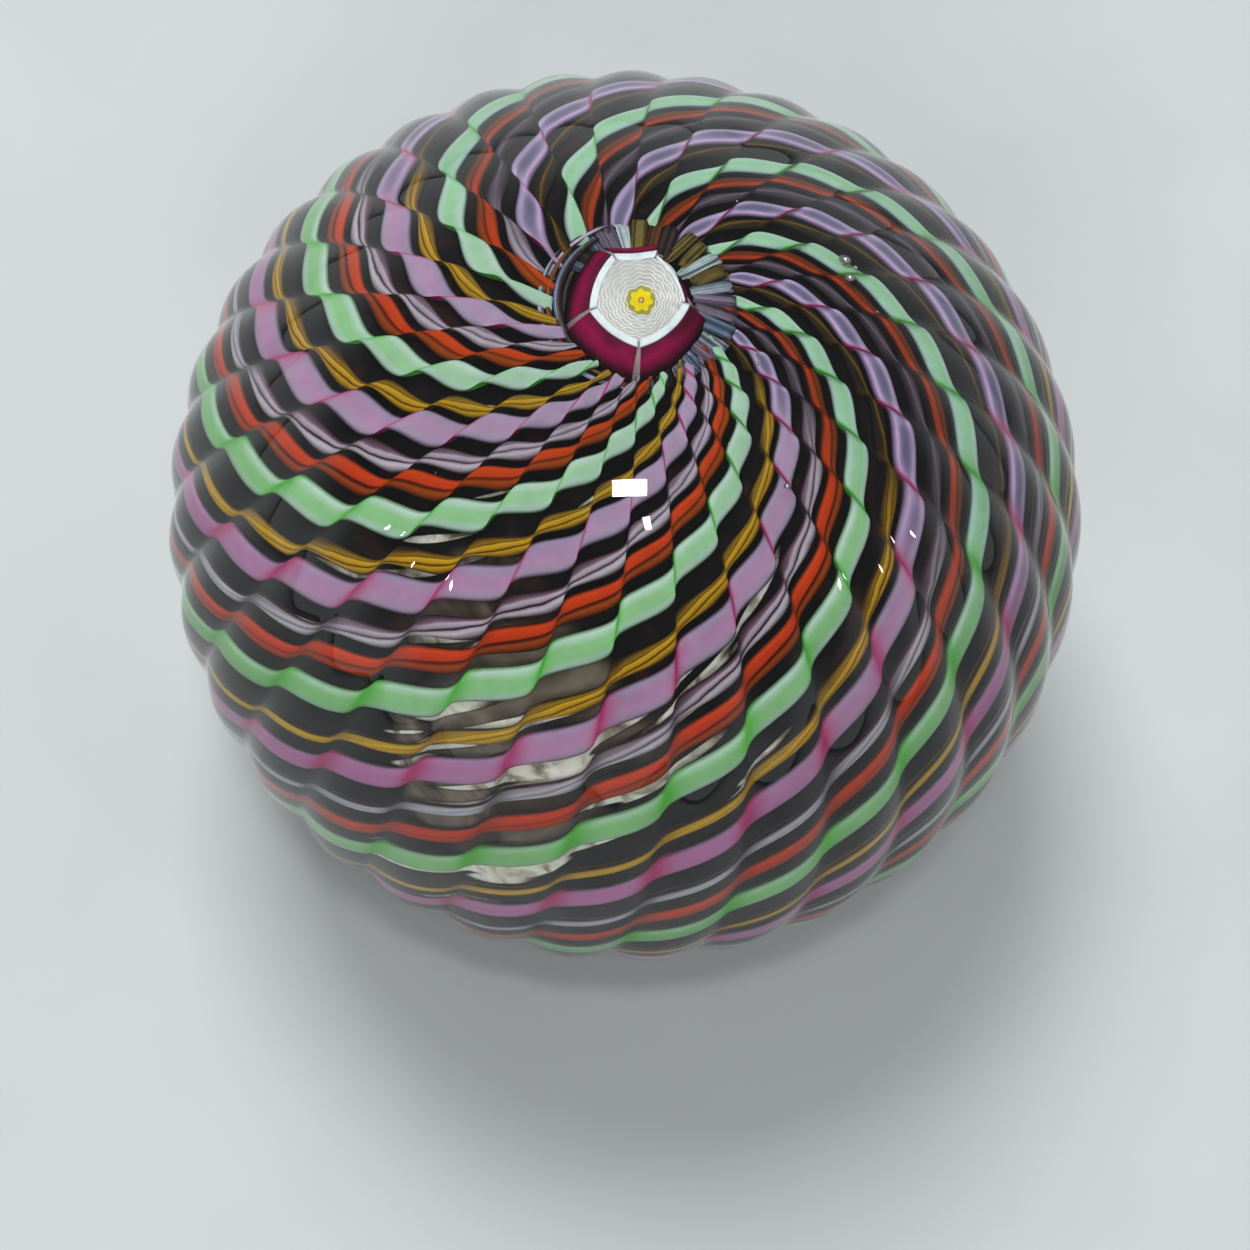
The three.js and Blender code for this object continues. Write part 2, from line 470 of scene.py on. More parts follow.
@dataclass
class Effects:
    """The effects that several kinds of glass share, each built once.

    The dim way points to the far right, where the canes stand on edge. Every other pair is
    where a mask begins and ends, along the swirl in radians or by the cosine of a turn.
    """

    cloud_scale: float = 0.22
    wander_scale: float = 0.3
    dim_way: tuple[float, float] = (0.574, 0.819)
    dim_turn: tuple[float, float] = (-0.1, 0.3)
    dim_end: tuple[float, float] = (0.9, 1.3)
    low_run: tuple[float, float] = (0.75, 1.35)
    crown_run: tuple[float, float] = (0.22, 0.75)
    crown_loss: float = 0.8
    sharp_fold: tuple[float, float] = (0.2, 1.05)
    broad_fold: tuple[float, float] = (-0.75, 1.05)
    broad_strength: float = 0.9
    fold_spread: tuple[float, float] = (0.55, 0.95)
    streaks: bpy.types.NodeTree = field(init=False)
    masks: bpy.types.NodeTree = field(init=False)

    def __post_init__(self) -> None:
        """Builds every group."""
        self.streaks = self._streaks()
        self.masks = self._masks()

    def _streaks(self) -> bpy.types.NodeTree:
        """Builds drawn-glass streaks: a shade about 1, and a slow wander about 0.

        Returns:
            The group's tree.
        """
        group = EffectGroup("glass_streaks",
                            (("Place", "Vector"), ("Grain Scale", "Float"), ("Depth", "Float")),
                            ("Shade", "Wander"))
        scale = group.number("Grain Scale")
        grain = group.noise(scale, detail=5.0).ramp(low=0.2, high=0.8, start=-1.0, end=0.6)
        cloud = group.noise(scale * self.cloud_scale, detail=2.0).ramp(
            low=0.3, high=0.7, start=-0.6, end=0.6)
        group.give("Shade", 1.0 + (grain + cloud) * group.number("Depth"))
        group.give("Wander", group.noise(scale * self.wander_scale, detail=3.0) - 0.5)
        return group.tree

    def _masks(self) -> bpy.types.NodeTree:
        """Builds a wound ribbon's masks: its dim side, its low run, its crown and its folds.

        Returns:
            The group's tree.
        """
        group = EffectGroup("ribbon_masks",
                            (("Place", "Vector"), ("Along", "Float"), ("Fold Cosine", "Float"),
                             ("Fold Sine", "Float"), ("Fold Lean", "Float")),
                            ("Dim", "Low", "Crown", "Fold"))
        parts = add_node(group.tree, "ShaderNodeSeparateXYZ", Vector=group.entry.outputs["Place"])
        x, y, _ = (Term(group.tree, socket) for socket in parts.outputs)
        along = group.number("Along")
        reach = (x * x + y * y).math("SQRT").at_least(0.001)
        way_x, way_y = self.dim_way
        turned = ((x * way_x + y * way_y) / reach).ramp(*self.dim_turn)
        dim = turned * (1.0 - along.ramp(*self.dim_end))
        group.give("Dim", dim)
        group.give("Low", along.ramp(*self.low_run) * (1.0 - dim))
        group.give("Crown", (1.0 - along.ramp(*self.crown_run)) * (1.0 - dim * self.crown_loss))
        lean = group.number("Fold Cosine") + group.number("Fold Sine") * group.number("Fold Lean")
        sharp = lean.ramp(*self.sharp_fold)
        broad = lean.ramp(*self.broad_fold) * self.broad_strength
        group.give("Fold", sharp + (broad - sharp) * along.ramp(*self.fold_spread))
        return group.tree


class Surface:
    """A material in the making, with its node tree and Principled BSDF."""

    def __init__(self, name: str) -> None:
        """Starts a material.

        Args:
            name: The material's name.
        """
        self.material = bpy.data.materials.new(name)
        self.material.use_nodes = True
        self.tree = self.material.node_tree
        self.shader = self.tree.nodes["Principled BSDF"]
        self.output = self.tree.nodes["Material Output"]

    def node(self, kind: str, **inputs: object) -> bpy.types.Node:
        """Adds a shader node and feeds its inputs."""
        return add_node(self.tree, f"ShaderNode{kind}", **inputs)

    def attribute(self, name: str) -> Term:
        """Reads a number stored on the mesh.

        Args:
            name: The attribute's name.

        Returns:
            The number.
        """
        node = self.tree.nodes.new("ShaderNodeAttribute")
        node.attribute_name = name
        return Term(self.tree, node.outputs["Fac"])

    def object_place(self) -> tuple[bpy.types.NodeSocket, tuple[Term, Term, Term]]:
        """Reads the object coordinates.

        Returns:
            The whole vector, then its x, y and z.
        """
        whole = self.node("TexCoord").outputs["Object"]
        parts = self.node("SeparateXYZ", Vector=whole)
        return whole, tuple(Term(self.tree, socket) for socket in parts.outputs)

    def noise(self, vector: bpy.types.NodeSocket, scale: float, detail: float = 3.0,
              distortion: float = 0.0) -> Term:
        """Noise over the surface, about 0.5."""
        node = self.node("TexNoise", Vector=vector, Scale=scale, Detail=detail,
                         Distortion=distortion)
        return Term(self.tree, node.outputs["Fac"])

    def effect(self, tree: bpy.types.NodeTree, **inputs: object) -> bpy.types.Node:
        """Places a shared effect and feeds its inputs.

        Args:
            tree: The effect's group.
            inputs: Values or numbers by input name, with _ for a space.

        Returns:
            The group node.
        """
        node = self.tree.nodes.new("ShaderNodeGroup")
        node.node_tree = tree
        for name, value in inputs.items():
            plug(self.tree, value, node.inputs[name.replace("_", " ")])
        return node

    def shaded(self, colour: object, shade: "Term | float") -> bpy.types.NodeSocket:
        """A colour made lighter or darker."""
        node = self.node("HueSaturation", Color=colour, Value=shade)
        return node.outputs["Color"]

    def bands(self, place: Term, stops: Sequence[tuple[float, Colour]],
              stepped: bool = False) -> bpy.types.NodeSocket:
        """A run of colours.

        Args:
            place: Where along the run, from 0 to 1.
            stops: Positions and colours.
            stepped: True for steps in place of a blend.

        Returns:
            The colour.
        """
        node = self.node("ValToRGB", Fac=place)
        ramp = node.color_ramp
        ramp.interpolation = "CONSTANT" if stepped else "LINEAR"
        while len(ramp.elements) < len(stops):
            ramp.elements.new(1.0)
        for element, (position, colour) in zip(ramp.elements, stops):
            element.position = position
            element.color = colour
        return node.outputs["Color"]

    def mix(self, share: "Term | float", first: object, second: object) -> bpy.types.NodeSocket:
        """Mixes two colours.

        Args:
            share: Share of the second colour.
            first: The first colour.
            second: The second colour.

        Returns:
            The mixed colour.
        """
        node = self.tree.nodes.new("ShaderNodeMix")
        node.data_type = "RGBA"
        plug(self.tree, share, node.inputs["Factor"])
        plug(self.tree, first, node.inputs[6])
        plug(self.tree, second, node.inputs[7])
        return node.outputs[2]

    def paint(self, colour: bpy.types.NodeSocket) -> None:
        """Feeds the base colour."""
        self.tree.links.new(colour, self.shader.inputs["Base Color"])

    def set(self, **values: float) -> None:
        """Sets plain values on the Principled BSDF."""
        for name, value in values.items():
            self.shader.inputs[name.replace("_", " ")].default_value = value


@dataclass(frozen=True)
class RibbonGlass:
    """Glass of one family of ribbon canes, as strands across the ribbon.

    The open strands show where the ribbon lies face up, and the dim strands where it stands
    on edge at the far right of the weight, with painted shade in the middle of each rib.
    The fold colour shows where the ribbon turns over, once a rib. A tone is how much of a
    colour is kept: an even painted shade, for the weaker light on the canes than on the floor.
    Sway and drift carry the strands across the ribbon, with the ribs and at random.
    """

    name: str
    open_strands: tuple[tuple[float, Colour], ...]
    dim_strands: tuple[tuple[float, Colour], ...]
    fold: Colour
    low: Colour
    crown: Colour
    # The cloud colour is painted shade in the middle of each rib, on the dim side.
    cloud: Colour = srgb(24, 18, 18)
    cloud_strength: float = 0.0
    fold_strength: float = 1.0
    low_strength: float = 0.0
    crown_strength: float = 0.0
    # The tones darken every colour evenly, as painted shade.
    tone: float = 0.57
    dim_tone: float = 0.8
    sway: float = 0.0
    drift: float = 0.10
    rim: tuple[float, float] = (0.42, 0.47)
    cloud_stray: float = 1.6
    cloud_run: tuple[float, float] = (0.3, -0.9)
    cloud_width: tuple[float, float] = (0.45, 1.0)
    cloud_focus: float = 1.5

    def _toned(self, colour: Colour, tone: float | None = None) -> Colour:
        """A colour darkened by a tone, as painted shade for the weaker light on the canes.

        Args:
            colour: The glass's own colour.
            tone: How much of the colour is left; the ribbon's own tone if none is given.

        Returns:
            The darker colour.
        """
        red, green, blue, alpha = colour
        kept = self.tone if tone is None else tone
        return (red * kept, green * kept, blue * kept, alpha)

    def _strands(self, surface: "Surface", across: Term, stops: Sequence[tuple[float, Colour]],
                 tone: float) -> bpy.types.NodeSocket:
        """Strand colours across the ribbon, toned.

        Args:
            surface: The material in the making.
            across: Place across the ribbon, from 0 to 1.
            stops: Places and colours of the strands.
            tone: How much of each colour is left.

        Returns:
            The colour.
        """
        toned = [(place, self._toned(colour, tone)) for place, colour in stops]
        return surface.bands(across, toned)

    def build(self, effects: Effects) -> bpy.types.Material:
        """Builds the material.

        Args:
            effects: The shared effects.

        Returns:
            The material.
        """
        surface = Surface(self.name)
        whole = surface.node("TexCoord").outputs["Object"]
        streaks = surface.effect(effects.streaks, Place=whole, Grain_Scale=900.0, Depth=0.07)
        masks = surface.effect(effects.masks, Place=whole, Along=surface.attribute("along"),
                               Fold_Cosine=surface.attribute("fold_cosine"),
                               Fold_Sine=surface.attribute("fold_sine"), Fold_Lean=0.25)
        dim, low, crown, fold = (Term(surface.tree, socket) for socket in masks.outputs)
        wander = Term(surface.tree, streaks.outputs["Wander"])
        sway = surface.attribute("fold_sine") * self.sway + wander * self.drift
        across = surface.attribute("across") * 0.5 + 0.5
        inside = 1.0 - (across * 2.0 - 1.0) * (across * 2.0 - 1.0)
        strand = across + sway * inside
        # Both strand runs are toned, an even painted shade.
        colour = surface.mix(dim, self._strands(surface, strand, self.open_strands, self.tone),
                             self._strands(surface, strand, self.dim_strands, self.dim_tone))
        body = (across - 0.5).math("ABSOLUTE").ramp(*self.rim, 1.0, 0.0)
        colour = surface.mix(low * body * self.low_strength, colour, self._toned(self.low))
        colour = surface.mix(crown * body * self.crown_strength, colour, self._toned(self.crown))
        rib = (surface.attribute("fold_cosine") + wander * self.cloud_stray).ramp(*self.cloud_run)
        middle = rib * inside.ramp(*self.cloud_width).power(self.cloud_focus)
        # Painted shade: the cloud colour darkens the middle of each rib on the dim side.
        colour = surface.mix(dim * middle * self.cloud_strength, colour, self._toned(self.cloud))
        colour = surface.mix(fold * self.fold_strength, colour, self._toned(self.fold))
        surface.paint(surface.shaded(colour, Term(surface.tree, streaks.outputs["Shade"])))
        surface.set(Roughness=0.35, IOR=1.02)
        return surface.material


# Brown and plum glass beside and between the strands, and near-black painted shade at the edges.
LINE = srgb(34, 14, 10)
PLUM = srgb(60, 26, 38)
SHADE = srgb(18, 16, 18)

GREEN = RibbonGlass(
    "green_ribbon_glass",
    open_strands=((0.0, SHADE), (0.04, srgb(120, 170, 120)), (0.12, srgb(200, 230, 218)),
                  (0.36, srgb(156, 220, 154)), (0.66, srgb(160, 222, 156)),
                  (0.9, srgb(204, 232, 222)), (0.97, srgb(120, 170, 120)), (1.0, SHADE)),
    dim_strands=((0.0, SHADE), (0.06, srgb(140, 180, 156)), (0.16, srgb(196, 226, 216)),
                 (0.4, srgb(156, 216, 164)), (0.7, srgb(164, 218, 176)),
                 (0.93, srgb(170, 206, 196)), (1.0, SHADE)),
    fold=srgb(84, 200, 54), dim_tone=0.62,
    low=srgb(136, 214, 124), low_strength=0.6,
    crown=srgb(196, 222, 214), crown_strength=0.6)
PINK = RibbonGlass(
    "pink_ribbon_glass",
    open_strands=((0.0, srgb(50, 16, 40)), (0.05, srgb(140, 118, 150)), (0.14, srgb(186, 172, 200)),
                  (0.4, srgb(200, 156, 196)), (0.7, srgb(194, 150, 192)),
                  (0.92, srgb(166, 152, 182)), (1.0, srgb(50, 16, 40))),
    dim_strands=((0.0, SHADE), (0.1, srgb(142, 126, 160)), (0.28, srgb(186, 168, 204)),
                 (0.48, srgb(122, 116, 148)), (0.6, srgb(134, 126, 160)),
                 (0.82, srgb(182, 158, 196)), (0.94, srgb(116, 92, 126)), (1.0, SHADE)),
    fold=srgb(196, 34, 116), dim_tone=0.88,
    cloud=srgb(104, 102, 132), cloud_strength=0.8,
    low=srgb(204, 112, 178), low_strength=0.7,
    crown=srgb(182, 168, 196), crown_strength=0.7, drift=0.28)
ORANGE = RibbonGlass(
    "orange_ribbon_glass",
    open_strands=((0.0, LINE), (0.1, srgb(120, 50, 14)), (0.32, srgb(170, 74, 20)),
                  (0.44, srgb(66, 18, 8)), (0.5, srgb(90, 24, 10)), (0.56, srgb(206, 60, 18)),
                  (0.9, srgb(216, 72, 26)), (1.0, LINE)),
    dim_strands=((0.0, SHADE), (0.14, srgb(60, 28, 14)), (0.34, srgb(116, 52, 22)), (0.46, LINE),
                 (0.6, srgb(188, 62, 26)), (0.8, srgb(150, 50, 26)), (0.9, LINE), (1.0, SHADE)),
    fold=srgb(110, 34, 10), fold_strength=0.55,
    cloud=srgb(112, 56, 24), cloud_strength=0.6,
    low=srgb(214, 62, 30), low_strength=0.65,
    crown=srgb(176, 84, 28), crown_strength=0.35, sway=0.06)
YELLOW = RibbonGlass(
    "yellow_ribbon_glass",
    open_strands=((0.0, LINE), (0.08, srgb(150, 114, 16)), (0.26, srgb(216, 170, 22)),
                  (0.34, srgb(84, 46, 8)), (0.38, srgb(90, 52, 10)), (0.48, srgb(196, 148, 24)),
                  (0.7, srgb(222, 178, 34)), (0.77, srgb(80, 46, 8)), (0.84, srgb(150, 112, 26)),
                  (0.94, srgb(104, 78, 18)), (1.0, LINE)),
    dim_strands=((0.0, SHADE), (0.3, srgb(26, 20, 14)), (0.38, srgb(120, 92, 26)),
                 (0.44, srgb(70, 48, 18)), (0.54, srgb(84, 56, 22)), (0.62, srgb(26, 20, 14)),
                 (1.0, SHADE)),
    fold=srgb(112, 78, 12), fold_strength=0.55,
    low=srgb(224, 180, 36), low_strength=0.75,
    crown=srgb(168, 150, 60), crown_strength=0.3, sway=0.22, drift=0.5)
WHITE = RibbonGlass(
    "white_ribbon_glass",
    open_strands=((0.0, PLUM), (0.08, srgb(150, 140, 154)), (0.26, srgb(214, 206, 216)),
                  (0.38, srgb(196, 186, 200)), (0.45, PLUM), (0.52, PLUM),
                  (0.6, srgb(170, 154, 172)), (0.76, srgb(196, 184, 198)),
                  (0.86, srgb(120, 92, 110)), (1.0, PLUM)),
    dim_strands=((0.0, SHADE), (0.2, srgb(34, 26, 34)), (0.36, srgb(78, 66, 80)),
                 (0.48, srgb(104, 92, 108)), (0.6, srgb(46, 34, 44)), (0.85, srgb(34, 28, 36)),
                 (1.0, SHADE)),
    fold=srgb(52, 28, 40), fold_strength=0.8,
    cloud=srgb(104, 88, 100), cloud_strength=0.5,
    low=srgb(196, 202, 210), low_strength=0.75,
    crown=srgb(176, 166, 186), crown_strength=0.4, sway=0.2, drift=0.45)


@dataclass(frozen=True)
class ClearGlass:
    """Polished clear glass that lets lamps through, with the faint waves of a moulded skin."""

    name: str = "clear_casing_glass"
    ior: float = 1.5
    tint: Colour = (0.97, 0.985, 0.98, 1.0)
    wave_scale: float = 90.0
    wave_height: float = 0.6 * MILLIMETRE

    def build(self) -> bpy.types.Material:
        """Builds the material.

        Returns:
            The material.
        """
        surface = Surface(self.name)
        whole, _ = surface.object_place()
        waves = surface.noise(whole, self.wave_scale, detail=1.0)
        bump = surface.node("Bump", Height=waves, Strength=0.06, Distance=self.wave_height)
        surface.tree.links.new(bump.outputs["Normal"], surface.shader.inputs["Normal"])
        surface.set(Roughness=0.0, IOR=self.ior, Transmission_Weight=1.0)
        surface.shader.inputs["Base Color"].default_value = self.tint
        open_air = surface.node("BsdfTransparent")
        path = surface.node("LightPath")
        mixer = surface.node("MixShader")
        surface.tree.links.new(path.outputs["Is Shadow Ray"], mixer.inputs[0])
        surface.tree.links.new(surface.shader.outputs[0], mixer.inputs[1])
        surface.tree.links.new(open_air.outputs[0], mixer.inputs[2])
        surface.tree.links.new(mixer.outputs[0], surface.output.inputs["Surface"])
        return surface.material


@dataclass(frozen=True)
class CoreGlass:
    """Near-black glass between the canes, with taupe and pale windows on the front.

    The windows are painted light and shade: the ground seen through clear gaps in the core,
    taupe where it lies in shade and pale where it is lit. The pale windows are noise drawn
    out along the swirl. They thin out with distance from the window centre, and each has a
    dark rim.
    """

    name: str = "dark_core_glass"
    window_centre: tuple[float, float, float] = (-0.0085, -0.0275, 0.0465)
    window_reach: float = 7.5 * MILLIMETRE
    window_ease: float = 4.0 * MILLIMETRE
    window_stray: float = 30.0 * MILLIMETRE
    lane_scale: float = 11.0
    along_scale: float = 3.4
    spot_level: float = 0.5
    spot_ease: float = 0.03
    spot_start: float = 3.0 * MILLIMETRE
    spot_loss: float = 12.0
    rim: tuple[float, float] = (0.035, 0.005)
    rim_shade: float = 0.35

    def build(self, effects: Effects) -> bpy.types.Material:
        """Builds the material.

        Args:
            effects: The shared effects.

        Returns:
            The material.
        """
        surface = Surface(self.name)
        whole, (x, y, z) = surface.object_place()
        smoke = surface.bands(surface.noise(whole, scale=150.0, detail=4.0, distortion=1.5),
                              ((0.0, srgb(12, 12, 14)), (0.55, srgb(18, 16, 18)),
                               (0.66, srgb(38, 24, 22)), (0.8, srgb(64, 40, 22)),
                               (1.0, srgb(84, 60, 30))))
        # Painted shade: taupe for shaded ground seen through thin gaps, near the window centre.
        taupe = surface.bands(surface.noise(whole, scale=120.0, detail=3.0, distortion=1.2),
                              ((0.3, srgb(22, 14, 14)), (0.44, srgb(66, 54, 46)),
                               (0.58, srgb(116, 106, 92)), (0.75, srgb(60, 44, 44))))
        # Painted light: pale grey and white for lit ground seen through the clear windows.
        pale = surface.bands(surface.noise(whole, scale=300.0, detail=4.0, distortion=1.4),
                             ((0.28, srgb(60, 46, 42)), (0.4, srgb(150, 142, 126)),
                              (0.5, srgb(206, 205, 190)), (0.6, srgb(222, 222, 212)),
                              (0.72, srgb(176, 160, 160))))
        cx, cy, cz = self.window_centre
        far = ((x - cx) * (x - cx) + (y - cy) * (y - cy) + (z - cz) * (z - cz)).math("SQRT")
        cloud = surface.noise(whole, scale=75.0, detail=2.0) - 0.5
        glow = (far + cloud * self.window_stray).ramp(
            self.window_reach, self.window_reach + self.window_ease, 1.0, 0.0)
        drawn = surface.node("CombineXYZ",
                             X=surface.attribute("lane_cosine") * self.lane_scale,
                             Y=surface.attribute("lane_sine") * self.lane_scale,
                             Z=surface.attribute("along") * self.along_scale)
        loss = (far - self.spot_start).at_least(0.0) * self.spot_loss
        spots = surface.noise(drawn.outputs[0], scale=1.0, detail=1.0, distortion=0.25) - loss
        bright = spots.ramp(self.spot_level, self.spot_level + self.spot_ease)
        outer, inner = self.rim
        rim = spots.ramp(self.spot_level - outer, self.spot_level - inner, 1.0, self.rim_shade)
        base = surface.shaded(surface.mix(glow, smoke, taupe), rim)
        colour = surface.mix(bright, base, pale)
        streaks = surface.effect(effects.streaks, Place=whole, Grain_Scale=1300.0, Depth=0.05)
        surface.paint(surface.shaded(colour, Term(surface.tree, streaks.outputs["Shade"])))
        surface.set(Roughness=0.3, IOR=1.02)
        return surface.material


@dataclass(frozen=True)
class CaneGlass:
    """Opaque glass of the centre cane, shaded by its height, with faint streaks."""

    name: str
    light: Colour
    dark: Colour
    low_height: float
    high_height: float
    stray: float = 1.2 * MILLIMETRE
    roughness: float = 0.3
    ior: float = 1.08

    def build(self, effects: Effects) -> bpy.types.Material:
        """Builds the material.

        Args:
            effects: The shared effects.

        Returns:
            The material.
        """
        surface = Surface(self.name)
        whole, (_, _, z) = surface.object_place()
        streaks = surface.effect(effects.streaks, Place=whole, Grain_Scale=1600.0, Depth=0.10)
        wander = Term(surface.tree, streaks.outputs["Wander"])
        height = z + wander * self.stray
        colour = surface.mix(height.ramp(self.low_height, self.high_height), self.dark, self.light)
        surface.paint(surface.shaded(colour, Term(surface.tree, streaks.outputs["Shade"])))
        surface.set(Roughness=self.roughness, IOR=self.ior)
        return surface.material


@dataclass(frozen=True)
class PetalGlass:
    """Ruby glass of the petals: maroon by the plates, crimson in the middle, black below.

    The petals darken towards the right, over the span of the far side, as painted shade.
    """

    name: str
    crown: float
    depth: float = 2.6 * MILLIMETRE
    stray: float = 0.25
    far_side: tuple[float, float] = (2.4 * MILLIMETRE, 5.6 * MILLIMETRE)
    far_shade: float = 0.4

    def build(self, effects: Effects) -> bpy.types.Material:
        """Builds the material.

        Args:
            effects: The shared effects.

        Returns:
            The material.
        """
        surface = Surface(self.name)
        whole, (x, _, z) = surface.object_place()
        streaks = surface.effect(effects.streaks, Place=whole, Grain_Scale=1100.0, Depth=0.14)
        wander = Term(surface.tree, streaks.outputs["Wander"])
        fall = (self.crown - z) / self.depth + wander * self.stray
        colour = surface.bands(fall, ((0.0, srgb(48, 6, 22)), (0.04, srgb(72, 8, 32)),
                                      (0.13, srgb(118, 10, 56)), (0.24, srgb(98, 8, 46)),
                                      (0.38, srgb(38, 6, 20)), (0.52, srgb(10, 4, 8))))
        shade = Term(surface.tree, streaks.outputs["Shade"])
        # Painted shade: the petals grow darker towards the right.
        far = x.ramp(*self.far_side, 1.0, self.far_shade)
        surface.paint(surface.shaded(colour, shade * far))
        surface.set(Roughness=0.3, IOR=1.08)
        return surface.material


@dataclass(frozen=True)
class SeedGlass:
    """The silvery skin of an air seed."""

    name: str
    silver: Colour = srgb(186, 190, 190)

    def build(self, effects: Effects) -> bpy.types.Material:
        """Builds the material.

        Args:
            effects: The shared effects.

        Returns:
            The material.
        """
        surface = Surface(self.name)
        whole = surface.node("TexCoord").outputs["Object"]
        streaks = surface.effect(effects.streaks, Place=whole, Grain_Scale=2600.0, Depth=0.3)
        surface.paint(surface.shaded(self.silver, Term(surface.tree, streaks.outputs["Shade"])))
        surface.set(Roughness=0.12, Metallic=0.85)
        return surface.material


@dataclass(frozen=True)
class TintedGlass:
    """Glass whose colour is picked, piece by piece, from a row of tints.

    Each piece has painted shade at its sides and ends, and its own drawn lines along it.
    """

    name: str
    tints: tuple[Colour, ...]
    side: tuple[float, ...] = (0.6, 0.96, 1.05, 0.08)
    end: tuple[float, ...] = (0.4, 0.5, 1.0, 0.45)
    lines: tuple[float, ...] = (0.34, 0.62, 0.2, 1.35)
    line_spread: float = 1.7
    line_change: float = 29.0
    line_stretch: float = 0.4

    def build(self, effects: Effects) -> bpy.types.Material:
        """Builds the material.

        Args:
            effects: The shared effects.

        Returns:
            The material.
        """
        surface = Surface(self.name)
        whole = surface.node("TexCoord").outputs["Object"]
        streaks = surface.effect(effects.streaks, Place=whole, Grain_Scale=1500.0, Depth=0.22)
        count = len(self.tints)
        stops = tuple((index / count, tint) for index, tint in enumerate(self.tints))
        pick = surface.bands(surface.attribute("tint"), stops, stepped=True)
        across, run = surface.attribute("across"), surface.attribute("run")
        # Painted shade: darker at the sides of each piece.
        middle = across.math("ABSOLUTE").ramp(*self.side)
        place = surface.node("CombineXYZ", X=across * self.line_spread,
                             Y=surface.attribute("tint") * self.line_change,
                             Z=run * self.line_stretch)
        drawn = surface.noise(place.outputs[0], scale=1.5, detail=1.0, distortion=0.6)
        # Painted shade: darker at the ends of each piece.
        ends = run.math("ABSOLUTE").ramp(*self.end)
        streak = Term(surface.tree, streaks.outputs["Shade"])
        shade = streak * middle * drawn.ramp(*self.lines) * ends
        surface.paint(surface.shaded(pick, shade))
        surface.set(Roughness=0.25, IOR=1.25)
        return surface.material


# ---------------------------------------------------------------------------------------
# Clear glass and dark core
# ---------------------------------------------------------------------------------------


@dataclass
class RibbedGlass:
    """The clear lump of glass: ribbed casing and foot in one, with the flat underneath.

    The ribs fade in over crown_fade, as angles down from the crown.
    """

    dome: Dome
    facets_per_rib: int = 16
    rings: int = 128
    crown_fade: tuple[float, float] = (0.4, 1.2)
    valley_radius: float = 0.05

    def tree(self) -> ShapeTree:
        """Builds the tree of the ribbed spheroid.

        Returns:
            The tree.
        """
        dome = self.dome
        shape = ShapeTree("Ribbed spheroid")
        depth = shape.input("Rib Depth")
        ball = shape.node("MeshUVSphere", Radius=1.0,
                          Segments=dome.rib_count * self.facets_per_rib, Rings=self.rings)
        terms = DomeTerms(shape.tree, dome)
        x, y, z = shape.position()
        angle = z.at_most(1.0).at_least(-1.0).math("ARCCOSINE")
        azimuth = y.math("ARCTAN2", x) + dome.rib_start - angle * dome.rib_lean
        phase = terms.rib_phase(azimuth, angle) * 0.5
        crest = (phase.sin() * phase.sin() + self.valley_radius ** 2).math("SQRT")
        fade = angle.ramp(*self.crown_fade)
        share = 1.0 - depth * fade * (1.0 - crest).at_least(0.0) * (1 / dome.radius)
        under = (math.pi - angle) * (1 / (math.pi - dome.base_angle))
        inward = under.at_most(1.0)
        level = angle.at_most(dome.base_angle)
        place = terms.place(share * inward, azimuth, level)
        parts = shape.node("SetPosition", Geometry=ball.outputs[0])
        lifted = add_node(shape.tree, "ShaderNodeSeparateXYZ", Vector=place)
        height = Term(shape.tree, lifted.outputs[2])
        flat = angle.math("GREATER_THAN", dome.base_angle)
        seat = add_node(shape.tree, "ShaderNodeCombineXYZ", X=lifted.outputs[0],
                        Y=lifted.outputs[1], Z=height * (1.0 - flat))
        plug(shape.tree, seat.outputs[0], parts.inputs["Position"])
        shape.finish(parts.outputs[0])
        return shape

    def build(self) -> None:
        """Makes the glass and hands it over."""
        glass = ClearGlass().build()
        piece = self.tree().make("ribbed_glass",
                                 {"Rib Depth": self.dome.rib_depth, "Material": glass})
        hand_over(piece, ("clear_casing", "clear_foot"))


